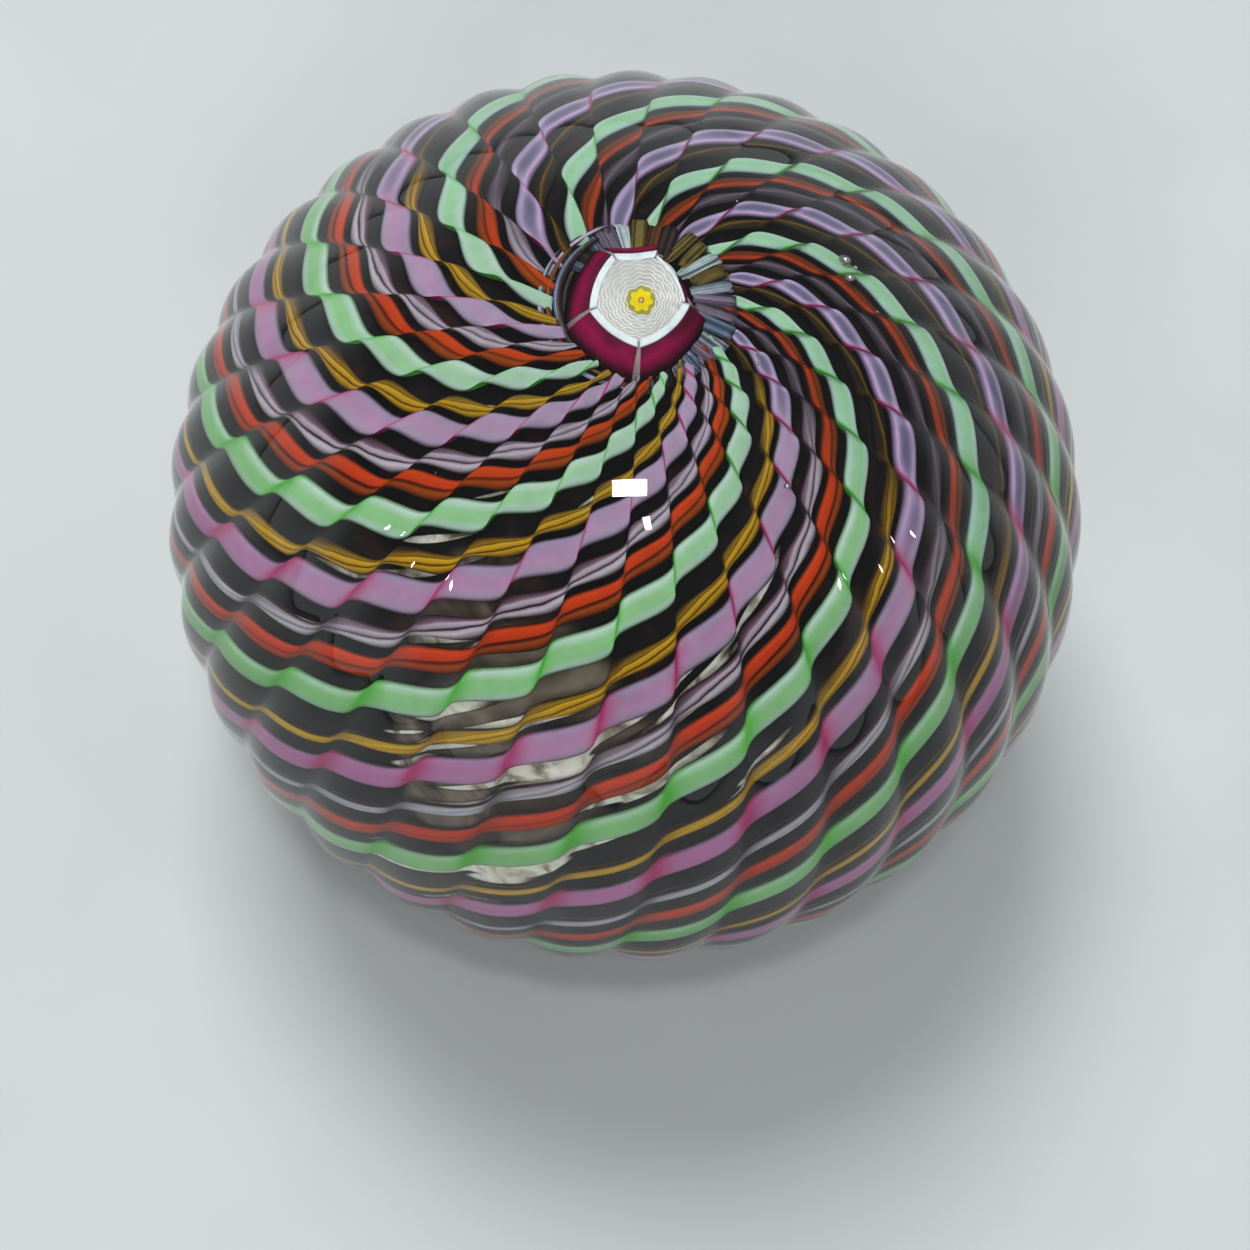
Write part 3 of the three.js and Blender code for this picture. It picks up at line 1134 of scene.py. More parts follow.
@dataclass
class DarkCore:
    """The dark glass that the canes lie on, dipped under the centre cane."""

    dome: Dome
    effects: Effects
    share: float = 0.925
    dip: float = 0.062
    dip_span: tuple[float, float] = (math.radians(8), math.radians(24))
    end: float = math.radians(140)
    segments: int = 160
    rings: int = 80

    def build(self) -> None:
        """Makes the core and hands it over."""
        shape = ShapeTree("Core dome")
        share = shape.input("Share")
        end = shape.input("End Angle")
        ball = shape.node("MeshUVSphere", Radius=1.0, Segments=self.segments, Rings=self.rings)
        terms = DomeTerms(shape.tree, self.dome)
        x, y, z = shape.position()
        angle = z.at_most(1.0).at_least(-1.0).math("ARCCOSINE")
        inward = ((math.pi - angle) / (math.pi - end)).at_most(1.0)
        sunk = share - angle.ramp(*self.dip_span, self.dip, 0.0)
        place = terms.place(sunk, y.math("ARCTAN2", x), angle.at_most(end))
        parts = add_node(shape.tree, "ShaderNodeSeparateXYZ", Vector=place)
        drawn = add_node(shape.tree, "ShaderNodeCombineXYZ",
                         X=Term(shape.tree, parts.outputs[0]) * inward,
                         Y=Term(shape.tree, parts.outputs[1]) * inward, Z=parts.outputs[2])
        lane = y.math("ARCTAN2", x) + self.dome.winding(angle)
        kept = shape.keep(ball.outputs[0], "lane_cosine", lane.cos())
        kept = shape.keep(kept, "lane_sine", lane.sin())
        kept = shape.keep(kept, "along", angle)
        moved = shape.node("SetPosition", Geometry=kept, Position=drawn.outputs[0])
        shape.finish(moved.outputs[0])
        piece = shape.make("dark_core_dome", {"Share": self.share, "End Angle": self.end,
                                              "Material": CoreGlass().build(self.effects)})
        hand_over(piece, ("dark_core",))


# ---------------------------------------------------------------------------------------
# Ribbon canes
# ---------------------------------------------------------------------------------------


class Family(Enum):
    """The five families of ribbon cane in one repeat, in their order round the swirl."""

    GREEN = "green"
    ORANGE = "orange"
    WHITE = "white"
    PINK = "pink"
    YELLOW = "yellow"


@dataclass(frozen=True)
class RibbonPlan:
    """Where one family lies in a repeat, and what it is made of."""

    family: Family
    offset: float
    width: float
    low_share: float
    glass: RibbonGlass


@dataclass
class RibbonCanes:
    """The forty ribbon canes, wound down the dome and wavering with the ribs over them.

    Angles run down from the pole. Shares and thickness are parts of the dome's own size. The
    lens is how far the ribs carry a ribbon aside, where 1 is about a sixth of a rib.
    """

    dome: Dome
    effects: Effects
    repeats: int = 8
    top: float = math.radians(8.0)
    end: float = math.radians(138)
    share: float = 0.966
    thickness: float = 0.028
    taper: tuple[float, float] = (0.7, 1.35)
    dip: float = 0.045
    dip_span: tuple[float, float] = (math.radians(9), math.radians(19))
    left_gap: float = math.radians(4.5)
    left: float = math.radians(190)
    lens_top: float = 1.12
    lens_low: float = 0.55
    lens_fall: tuple[float, float] = (0.45, 1.35)
    lens_rise: tuple[float, ...] = (0.13, 0.3, 0.5, 1.0)
    edge_round: float = 0.98
    overlap: float = 0.007
    steps: int = 340
    strands: int = 17
    plans: tuple[RibbonPlan, ...] = (
        RibbonPlan(Family.GREEN, math.radians(0.2), math.radians(7.5), 0.79, GREEN),
        RibbonPlan(Family.ORANGE, math.radians(9.4), math.radians(5.8), 0.66, ORANGE),
        RibbonPlan(Family.WHITE, math.radians(16.4), math.radians(5.0), 0.41, WHITE),
        RibbonPlan(Family.PINK, math.radians(26.2), math.radians(8.0), 0.71, PINK),
        RibbonPlan(Family.YELLOW, math.radians(34.0), math.radians(4.4), 0.42, YELLOW),
    )

    def tree(self) -> ShapeTree:
        """Builds the tree of one ribbon, laid out in turn, thickness and angle.

        Returns:
            The tree.
        """
        dome = self.dome
        shape = ShapeTree("Ribbon cane")
        turn = shape.input("Turn")
        width = shape.input("Width")
        low_share = shape.input("Low Share")
        top = shape.input("Top Angle")
        end = shape.input("End Angle")
        share = shape.input("Share")
        thickness = shape.input("Thickness")
        block = shape.node("MeshCube", Vertices_X=3, Vertices_Y=self.strands, Vertices_Z=self.steps)
        plug(shape.tree, (1.0, 1.0, 1.0), block.inputs["Size"])
        terms = DomeTerms(shape.tree, dome)
        x, y, z = shape.position()
        across = y * 2.0
        along = top + (end - top) * (z + 0.5)
        spread = width * y * (1.0 - (1.0 - low_share) * along.ramp(*self.taper))
        azimuth, angle = terms.swirl(turn + spread, along)
        phase = terms.rib_phase(azimuth, angle)
        lens = (angle.ramp(*self.lens_fall, self.lens_top, self.lens_low)
                * angle.ramp(*self.lens_rise))
        bent = azimuth - lens * phase.sin() * (1 / dome.rib_count)
        rounded = (1.0 - across * across * across * across * self.edge_round).math("SQRT")
        dip = along.ramp(*self.dip_span, self.dip, 0.0)
        tilt = self.overlap * lens * phase.sin()
        layer = share - dip - self.overlap + tilt - thickness * 0.5 + thickness * x * rounded
        kept = shape.keep(block.outputs["Mesh"], "across", across)
        kept = shape.keep(kept, "along", along)
        kept = shape.keep(kept, "fold_cosine", phase.cos())
        kept = shape.keep(kept, "fold_sine", phase.sin())
        moved = shape.node("SetPosition", Geometry=kept, Position=terms.place(layer, bent, angle))
        shape.finish(moved.outputs[0])
        return shape

    def start_angle(self, turn: float) -> float:
        """Angle at which a cane begins, further out on the left where clear strips lie.

        Args:
            turn: The cane's turn round the swirl.

        Returns:
            The angle down from the pole.
        """
        dome = self.dome
        wound = self.top * (dome.swirl_rate - self.top * dome.swirl_ease)
        aside = math.cos(dome.swirl_start - turn - wound - self.left)
        return self.top + self.left_gap * max(0.0, aside) ** 2

    def build(self) -> None:
        """Makes the forty canes and hands each over."""
        shape = self.tree()
        for plan in self.plans:
            glass = plan.glass.build(self.effects)
            for repeat in range(self.repeats):
                turn = plan.offset + repeat * TURN / self.repeats
                piece = shape.make(f"{plan.family.value}_twist_{repeat + 1}", {
                    "Turn": turn, "Width": plan.width, "Low Share": plan.low_share,
                    "Top Angle": self.start_angle(turn), "End Angle": self.end,
                    "Share": self.share, "Thickness": self.thickness, "Material": glass})
                hand_over(piece,
                          (f"{plan.family.value}_ribbon_{repeat + 1}",))


# ---------------------------------------------------------------------------------------
# Centre cane
# ---------------------------------------------------------------------------------------


@dataclass
class CentreCane:
    """The bundled cane at the crown: a scalloped white face in five plates and ruby petals.

    Its axis stands at x and y, and the star's at star_x and star_y. The five seams are in
    degrees round the cane. The bows, the plate widths and the flares start at the first seam:
    a bow is how far a side curves in, as a share of its reach, and a flare is how far a petal
    slopes out, in millimetres as the widths are. Lean is how far the petals' outer ends slide
    the way of lean_x and lean_y.
    """

    effects: Effects
    x: float = 0.25 * MILLIMETRE
    y: float = 2.1 * MILLIMETRE
    oval: float = 1.13
    crown: float = 62.0 * MILLIMETRE
    root: float = 55.0 * MILLIMETRE
    face_radius: float = 3.42 * MILLIMETRE
    star_x: float = 0.42 * MILLIMETRE
    star_y: float = 1.75 * MILLIMETRE
    lean_x: float = -0.35
    lean_y: float = -1.0
    lean: float = 0.7 * MILLIMETRE
    bows: tuple[float, ...] = (0.10, 0.15, 0.10, 0.10, 0.10)
    seams: tuple[float, ...] = (-5.0, 71.0, 124.0, 198.5, 272.5)
    plate_widths: tuple[float, ...] = (0.22, 0.62, 0.58, 0.60, 0.60)
    flares: tuple[float, ...] = (0.9, 1.6, 1.85, 1.9, 1.9)
    line_count: int = 8
    first_line: float = 1.12
    line_pitch: float = 0.285
    line_width: float = 0.13
    line_thinning: float = 0.03
    line_half_height: float = 0.35 * MILLIMETRE
    line_sink: float = 0.3 * MILLIMETRE
    first_scallops: int = 9
    more_scallops: int = 3
    scallop_depth: float = 0.15 * MILLIMETRE
    scallop_turn: float = 1.3
    waver: float = 0.09 * MILLIMETRE
    drop: float = 2.6 * MILLIMETRE
    plate_drop: float = 0.3 * MILLIMETRE
    plate_gap: float = 0.05 * MILLIMETRE
    petal_gap: float = 0.22 * MILLIMETRE
    petal_wall: float = 0.06 * MILLIMETRE
    seam_reach: float = 0.13

    def _centre(self, shape: ShapeTree) -> tuple[Term, Term]:
        """Adds the inputs for the place of a part's own axis."""
        return shape.input("Centre X"), shape.input("Centre Y")

    def _polar(self, shape: ShapeTree, centre: tuple[Term, Term], reach: Term, azimuth: Term,
               height: Term) -> bpy.types.NodeSocket:
        """Point round a part's own axis, drawn out into the cane's oval.

        Args:
            shape: The tree.
            centre: Place of the axis.
            reach: Distance from the axis.
            azimuth: Turn round the axis.
            height: Height.

        Returns:
            The point as a vector socket.
        """
        node = add_node(shape.tree, "ShaderNodeCombineXYZ", X=reach * azimuth.cos() + centre[0],
                        Y=reach * azimuth.sin() * self.oval + centre[1], Z=height)
        return node.outputs[0]

    def rod_tree(self) -> ShapeTree:
        """Builds the tree of a lobed rod that stands upright.

        Returns:
            The tree.
        """
        shape = ShapeTree("Lobed rod")
        centre = self._centre(shape)
        radius, lobes, depth, start, top, root = (shape.input(name) for name in (
            "Radius", "Lobes", "Lobe Depth", "Start", "Top", "Root"))
        rod = shape.node("MeshCylinder", Vertices=144, Side_Segments=1, Fill_Segments=6,
                         Radius=1.0, Depth=2.0)
        x, y, z = shape.position()
        azimuth = y.math("ARCTAN2", x)
        flat = (x * x + y * y).math("SQRT")
        reach = radius * flat * (1.0 + depth * (azimuth * lobes + start).cos() * flat)
        height = root + (top - root) * (z * 0.5 + 0.5)
        moved = shape.node("SetPosition", Geometry=rod.outputs["Mesh"],
                           Position=self._polar(shape, centre, reach, azimuth, height))
        shape.finish(moved.outputs[0], smooth=False)
        return shape

    def line_tree(self) -> ShapeTree:
        """Builds the tree of a thin scalloped wall, as one closed loop.

        Returns:
            The tree.
        """
        shape = ShapeTree("Scalloped wall")
        centre = self._centre(shape)
        radius, thickness = shape.input("Radius"), shape.input("Thickness")
        scallops, depth = shape.input("Scallops"), shape.input("Scallop Depth")
        start, waver, top = shape.input("Start"), shape.input("Waver"), shape.input("Top")
        loop = shape.node("CurvePrimitiveCircle", Resolution=288, Radius=1.0)
        rim_radius = 0.25
        rim = shape.node("CurvePrimitiveCircle", Resolution=8, Radius=rim_radius)
        wall = shape.node("CurveToMesh", Curve=loop.outputs[0], Profile_Curve=rim.outputs[0])
        x, y, z = shape.position()
        azimuth = y.math("ARCTAN2", x)
        side = ((x * x + y * y).math("SQRT") - 1.0) * (1 / rim_radius)
        scallop = ((azimuth * scallops + start) * 0.5).sin().math("ABSOLUTE")
        # Two slow waves put every line a little out of round.
        slow = (azimuth * 5.0 + 0.7).sin() * 0.6 + (azimuth * 3.0 - 1.1).sin() * 0.4
        reach = radius + depth * scallop + waver * slow + side * thickness * 0.5
        height = top + z * (1 / rim_radius) * self.line_half_height - self.line_sink
        moved = shape.node("SetPosition", Geometry=wall.outputs[0],
                           Position=self._polar(shape, centre, reach, azimuth, height))
        shape.finish(moved.outputs[0])
        return shape

    def sector_tree(self) -> ShapeTree:
        """Builds the tree of a slab that fills one sector, upright or flared like a skirt.

        Returns:
            The tree.
        """
        shape = ShapeTree("Sector slab")
        centre = self._centre(shape)
        start, end, gap = shape.input("Start"), shape.input("End"), shape.input("Gap")
        inner, thick, bow = shape.input("Inner"), shape.input("Thickness"), shape.input("Bow")
        flare, drop, top, root = (shape.input(name) for name in ("Flare", "Drop", "Top", "Root"))
        block = shape.node("MeshCube", Vertices_X=25, Vertices_Y=5, Vertices_Z=21)
        plug(shape.tree, (1.0, 1.0, 1.0), block.inputs["Size"])
        x, y, z = shape.position()
        side, outward, down = x * 2.0, y + 0.5, 0.5 - z
        # The upper two thirds swing outwards as they fall, and the rest drops to the root.
        rate = 1.5
        swing = (down * rate).at_most(1.0) * (math.pi / 2)
        below = (down * rate - 1.0).at_least(0.0) * (1 / (rate - 1.0))
        base = inner * (1.0 - bow * (1.0 - side * side))
        reach = base + outward * (thick + flare * swing.sin())
        # The gap beside a slab widens as the slab slopes out.
        half = (end - start) * 0.5 - gap * (0.7 + outward * swing.sin() * 0.9) / reach
        azimuth = (start + end) * 0.5 + half * side
        skirt = drop * (1.0 - swing.cos())
        height = top - skirt - (top - skirt - root) * below
        slide = shape.input("Lean") * outward * swing.sin()
        leaning = (centre[0] + slide * self.lean_x, centre[1] + slide * self.lean_y)
        moved = shape.node("SetPosition", Geometry=block.outputs["Mesh"],
                           Position=self._polar(shape, leaning, reach, azimuth, height))
        shape.finish(moved.outputs[0])
        return shape

    def _glass(self, name: str, light: Colour, dark: Colour,
               span: float = 1.0) -> bpy.types.Material:
        """Dresses a part of the cane.

        Args:
            name: The finish's name.
            light: Colour at the crown.
            dark: Colour further down.
            span: Millimetres from light to dark.

        Returns:
            The material.
        """
        foot = self.crown - span * MILLIMETRE
        return CaneGlass(name, light, dark, foot, self.crown).build(self.effects)

    def _rod(self, shape: ShapeTree, name: str, radius: float, lobes: float, depth: float,
             lift: float, glass: bpy.types.Material) -> bpy.types.Object:
        """Makes one lobed rod on the star's axis.

        Args:
            shape: The rod tree.
            name: The piece's name.
            radius: Radius in millimetres.
            lobes: Number of lobes.
            depth: Depth of a lobe, as a share of the radius.
            lift: Millimetres that the top stands above the crown.
            glass: The finish.

        Returns:
            The piece.
        """
        return shape.make(name, {
            "Centre X": self.star_x, "Centre Y": self.star_y, "Radius": radius * MILLIMETRE,
            "Lobes": lobes, "Lobe Depth": depth, "Start": 0.9,
            "Top": self.crown + lift * MILLIMETRE, "Root": self.root, "Material": glass})

    def build_face(self) -> None:
        """Makes the scalloped face, its star and its flower dot."""
        rod, line = self.rod_tree(), self.line_tree()
        bed = self._glass("grey_bed_glass", srgb(166, 168, 166), srgb(96, 96, 100))
        face = rod.make("cane_face", {
            "Centre X": self.x, "Centre Y": self.y,
            "Radius": self.face_radius, "Lobes": 5.0, "Lobe Depth": 0.04,
            "Start": math.radians(115),
            "Top": self.crown - 0.10 * MILLIMETRE, "Root": self.root, "Material": bed})
        hand_over(face, ("centre_tube",))
        milk = self._glass("milk_line_glass", srgb(224, 224, 218), srgb(160, 162, 162))
        for index in range(self.line_count):
            share = index / (self.line_count - 1)
            pair = index // 2
            wall = line.make(f"scalloped_line_{index + 1}", {
                "Centre X": self.star_x + (self.x - self.star_x) * share,
                "Centre Y": self.star_y + (self.y - self.star_y) * share,
                "Radius": (self.first_line + self.line_pitch * index) * MILLIMETRE,
                "Thickness": (self.line_width - self.line_thinning * share) * MILLIMETRE,
                "Scallops": float(self.first_scallops + self.more_scallops * pair),
                "Scallop Depth": self.scallop_depth, "Start": self.scallop_turn * pair,
                "Waver": self.waver, "Top": self.crown - 0.04 * MILLIMETRE, "Material": milk})
            hand_over(wall)
        olive = self._glass("olive_halo_glass", srgb(140, 134, 66), srgb(96, 90, 40))
        hand_over(self._rod(rod, "olive_halo", 1.2, 7.0, 0.08, -0.07, olive))
        lemon = self._glass("lemon_star_glass", srgb(204, 184, 14), srgb(160, 130, 16))
        hand_over(self._rod(rod, "lemon_star", 0.84, 7.0, 0.12, -0.02, lemon),
                  ("centre_star",))
        blush = self._glass("blush_dot_glass", srgb(150, 96, 44), srgb(110, 64, 40))
        hand_over(self._rod(rod, "flower_dot", 0.25, 6.0, 0.2, 0.0, blush))
        pearl = self._glass("pearl_dot_glass", srgb(176, 170, 166), srgb(140, 130, 130))
        hand_over(self._rod(rod, "flower_eye", 0.12, 6.0, 0.1, 0.02, pearl))

    def build_sectors(self) -> None:
        """Makes the five white plates, the five ruby petals and the seams between petals."""
        slab = self.sector_tree()
        plate_glass = self._glass("white_plate_glass", srgb(196, 206, 210), srgb(130, 136, 144))
        ruby = PetalGlass("ruby_petal_glass", self.crown).build(self.effects)
        seam_glass = self._glass("seam_glass", srgb(140, 122, 128), srgb(96, 78, 86), 2.4)
        count = len(self.seams)
        for index, seam in enumerate(self.seams):
            start = math.radians(seam)
            end = math.radians(self.seams[(index + 1) % count] + (360 if index + 1 == count else 0))
            bow = self.bows[index]
            width = self.plate_widths[index] * MILLIMETRE
            flare = self.flares[index] * MILLIMETRE
            common = {"Centre X": self.x, "Centre Y": self.y, "Root": self.root}
            plate = slab.make(f"white_plate_{index + 1}", common | {
                "Start": start, "End": end, "Bow": bow, "Gap": self.plate_gap,
                "Inner": self.face_radius + 0.02 * MILLIMETRE, "Thickness": width,
                "Flare": 0.0, "Drop": self.plate_drop, "Lean": 0.0, "Top": self.crown,
                "Material": plate_glass})
            hand_over(plate, (f"cog_arc_{index + 1}",))
            petal = slab.make(f"ruby_skirt_{index + 1}", common | {
                "Start": start, "End": end, "Bow": bow, "Gap": self.petal_gap,
                "Inner": self.face_radius + width + 0.03 * MILLIMETRE,
                "Thickness": self.petal_wall, "Flare": flare, "Drop": self.drop,
                "Lean": self.lean, "Top": self.crown - 0.12 * MILLIMETRE, "Material": ruby})
            hand_over(petal, (f"ruby_petal_{index + 1}",))
            wedge = slab.make(f"petal_seam_{index + 1}", common | {
                "Start": start - self.seam_reach, "End": start + self.seam_reach,
                "Bow": 0.0, "Gap": 0.0,
                "Inner": self.face_radius + 0.3 * MILLIMETRE, "Thickness": self.petal_wall,
                "Flare": min(flare, self.flares[index - 1] * MILLIMETRE) + 0.1 * MILLIMETRE,
                "Drop": self.drop, "Lean": self.lean, "Top": self.crown - 0.2 * MILLIMETRE,
                "Material": seam_glass})
            hand_over(wedge)

    def build(self) -> None:
        """Makes the whole centre cane."""
        self.build_face()
        self.build_sectors()


@dataclass(frozen=True)
class DrawnStrip:
    """One clear strip of the collar.

    Its start and end are in degrees round the cane, and its reach, stray and width in
    millimetres. The tint is its place in the row of tints, from 0 to 1.
    """

    start: float
    end: float
    reach: float
    stray: float
    width: float
    tint: float


@dataclass
class Collar:
    """The ring of short cane ends and drawn clear strips round the centre cane."""

    effects: Effects
    x: float = 0.35 * MILLIMETRE
    y: float = 2.1 * MILLIMETRE
    height: float = 60.55 * MILLIMETRE
    count: int = 24
    first: float = math.radians(-105)
    last: float = math.radians(160)
    reach: float = 5.85 * MILLIMETRE
    length: float = 3.7 * MILLIMETRE
    width: float = 0.62 * MILLIMETRE
    flatness: float = 0.28
    droop: float = math.radians(16)
    pinch: float = 0.3
    fan: float = 0.55
    seed: int = 4
    reach_stray: tuple[float, float] = (-0.0002, 0.00025)
    height_stray: tuple[float, float] = (-0.0001, 0.0001)
    turn_stray: tuple[float, float] = (-0.12, 0.12)
    length_span: tuple[float, float] = (0.85, 1.1)
    width_span: tuple[float, float] = (0.8, 1.5)
    tint_span: tuple[float, float] = (0.0, 0.999)
    tints: tuple[Colour, ...] = (
        srgb(108, 126, 156), srgb(44, 34, 34), srgb(190, 210, 212), srgb(104, 62, 26),
        srgb(136, 124, 148), srgb(186, 80, 30), srgb(60, 48, 46), srgb(164, 178, 192),
        srgb(124, 108, 52), srgb(122, 132, 152), srgb(60, 46, 46), srgb(128, 114, 134))
    strips: tuple[DrawnStrip, ...] = (
        DrawnStrip(128, 222, 6.75, -0.3, 0.3, 0.03), DrawnStrip(122, 252, 6.6, -0.35, 0.85, 0.53),
        DrawnStrip(134, 266, 7.3, -0.5, 0.4, 0.27), DrawnStrip(146, 288, 7.9, -0.7, 0.5, 0.77),
        DrawnStrip(112, 205, 7.5, 0.3, 0.55, 0.35), DrawnStrip(128, 240, 5.95, -0.15, 0.45, 0.12),
        DrawnStrip(150, 250, 5.4, -0.1, 0.4, 0.6))
    strip_fall: float = 0.7 * MILLIMETRE
    strip_taper: float = 0.85
    strip_round: float = 3.6
    strip_height: float = 0.6

    def ends_tree(self) -> ShapeTree:
        """Builds the tree that sets short glass rods round a ring, tinted one by one.

        Returns:
            The tree.
        """
        shape = ShapeTree("Ring of cane ends")
        count, seed = shape.input("Count", "Int"), shape.input("Seed", "Int")
        reach, length, width = shape.input("Reach"), shape.input("Length"), shape.input("Width")
        height, droop = shape.input("Height"), shape.input("Droop")
        line = shape.node("MeshLine", Count=count)
        index = Term(shape.tree, shape.tree.nodes.new("GeometryNodeInputIndex").outputs[0])
        first, last = shape.input("First"), shape.input("Last")
        azimuth = first + (last - first) * index / count

        def chance(span: tuple[float, float], step: int) -> Term:
            """Picks a number at random for each rod.

            Args:
                span: Smallest and largest number.
                step: Added to the seed, so that each use picks afresh.

            Returns:
                The number.
            """
            node = add_node(shape.tree, "FunctionNodeRandomValue", Seed=seed + float(step))
            node.inputs[2].default_value, node.inputs[3].default_value = span
            return Term(shape.tree, node.outputs[1])

        out = reach + chance(self.reach_stray, 1)
        spot = add_node(shape.tree, "ShaderNodeCombineXYZ", X=out * azimuth.cos() + self.x,
                        Y=out * azimuth.sin() + self.y, Z=height + chance(self.height_stray, 2))
        placed = shape.node("SetPosition", Geometry=line.outputs[0], Position=spot.outputs[0])
        tinted = shape.keep(placed.outputs[0], "tint", chance(self.tint_span, 3))
        rod = shape.node("MeshCylinder", Vertices=10, Side_Segments=6, Radius=1.0, Depth=1.0)
        x, y, z = shape.position()
        pinch = 1.0 - (z * z * 4.0).power(3.0) * self.pinch
        fan = 1.0 - z * self.fan
        drawn = add_node(shape.tree, "ShaderNodeCombineXYZ",
                         X=z * -1.0, Y=y * pinch * fan, Z=x * pinch)
        laid = shape.node("SetPosition", Geometry=rod.outputs["Mesh"], Position=drawn.outputs[0])
        kept = shape.keep(laid.outputs[0], "across", y)
        kept = shape.keep(kept, "run", z)
        turned = add_node(shape.tree, "ShaderNodeCombineXYZ",
                          Y=droop, Z=azimuth + chance(self.turn_stray, 4))
        size = add_node(shape.tree, "ShaderNodeCombineXYZ",
                        X=length * chance(self.length_span, 5),
                        Y=width * chance(self.width_span, 6), Z=width * self.flatness)
        rods = shape.node("InstanceOnPoints", Points=tinted, Instance=kept,
                          Rotation=turned.outputs[0], Scale=size.outputs[0])
        shape.finish(rods.outputs[0])
        return shape

    def strip_tree(self) -> ShapeTree:
        """Builds the tree of one long clear strip, drawn round the left of the cane.

        Returns:
            The tree.
        """
        shape = ShapeTree("Drawn strip")
        start, end = shape.input("Start"), shape.input("End")
        reach, stray, width = shape.input("Reach"), shape.input("Stray"), shape.input("Width")
        height, tint = shape.input("Height"), shape.input("Tint")
        block = shape.node("MeshCube", Vertices_X=40, Vertices_Y=7, Vertices_Z=5)
        plug(shape.tree, (1.0, 1.0, 1.0), block.inputs["Size"])
        x, y, z = shape.position()
        run = x + 0.5
        azimuth = start + (end - start) * run
        taper = 1.0 - (x * 2.0).power(4.0) * self.strip_taper
        out = reach + stray * run * run + width * taper * y
        rounded = (1.0 - y * y * self.strip_round).math("SQRT")
        level = height - run * self.strip_fall + width * self.strip_height * z * rounded
        spot = add_node(shape.tree, "ShaderNodeCombineXYZ", X=out * azimuth.cos() + self.x,
                        Y=out * azimuth.sin() + self.y, Z=level)
        kept = shape.keep(block.outputs["Mesh"], "across", y * 2.0)
        kept = shape.keep(kept, "tint", tint)
        kept = shape.keep(kept, "run", x)
        moved = shape.node("SetPosition", Geometry=kept, Position=spot.outputs[0])
        shape.finish(moved.outputs[0])
        return shape

    def build(self) -> None:
        """Makes the ring of ends and the strips."""
        glass = TintedGlass("collar_glass", self.tints).build(self.effects)
        ends = self.ends_tree().make("collar_ends", {
            "Count": self.count, "Seed": self.seed, "Reach": self.reach,
            "First": self.first, "Last": self.last, "Length": self.length, "Width": self.width,
            "Height": self.height, "Droop": self.droop, "Material": glass})
        hand_over(ends, ("collar",))
        tree = self.strip_tree()
        for index, strip in enumerate(self.strips):
            lift = 0.6 - 0.1 * index - 0.3 * strip.width
            piece = tree.make(f"drawn_strip_{index + 1}", {
                "Start": math.radians(strip.start), "End": math.radians(strip.end),
                "Reach": strip.reach * MILLIMETRE, "Stray": strip.stray * MILLIMETRE,
                "Width": strip.width * MILLIMETRE, "Height": self.height + lift * MILLIMETRE,
                "Tint": strip.tint, "Material": glass})
            hand_over(piece)


# ---------------------------------------------------------------------------------------
# Seeds in the glass
# ---------------------------------------------------------------------------------------


@dataclass
class SeedBubbles:
    """Air seeds caught under the skin, each a little flattened.

    Each seed is its turn and its angle down from the crown in degrees, and its width in
    millimetres.
    """

    dome: Dome
    effects: Effects
    share: float = 0.978
    depth: float = 0.8
    height: float = 0.5
    seeds: tuple[tuple[float, float, float], ...] = (
        (27, 28.6, 1.15), (21.5, 28.0, 0.9), (24.5, 29.6, 0.45), (-45, 27.0, 0.6),
        (58, 22.0, 0.2), (-18, 15.2, 0.4), (-13.5, 14.6, 0.3), (12, 30.5, 0.3),
        (-52, 19.0, 0.2), (-60, 40.0, 0.14), (-112, 47.0, 0.16), (-140, 30.0, 0.14),
        (150, 35.0, 0.15), (100, 48.0, 0.18), (-20, 52.0, 0.15), (5, 44.0, 0.13))

    def build(self) -> None:
        """Makes the seeds and hands each over."""
        shape = ShapeTree("Air seed")
        turn, angle, size = shape.input("Turn"), shape.input("Angle"), shape.input("Size")
        ball = shape.node("MeshIcoSphere", Radius=1.0, Subdivisions=3)
        spot = DomeTerms(shape.tree, self.dome).place(self.share, turn, angle)
        x, y, z = shape.position()
        flat = add_node(shape.tree, "ShaderNodeCombineXYZ",
                        X=x * size, Y=y * size * self.depth, Z=z * size * self.height)
        pressed = shape.node("SetPosition", Geometry=ball.outputs[0], Position=flat.outputs[0])
        moved = shape.node("Transform", Geometry=pressed.outputs[0], Translation=spot)
        shape.finish(moved.outputs[0])
        glass = SeedGlass("seed_glass").build(self.effects)
        for index, (around, down, width) in enumerate(self.seeds):
            piece = shape.make(f"air_seed_{index + 1}", {
                "Turn": math.radians(around), "Angle": math.radians(down),
                "Size": width * MILLIMETRE * 0.5, "Material": glass})
            hand_over(piece)


# ---------------------------------------------------------------------------------------
# Studio
# ---------------------------------------------------------------------------------------


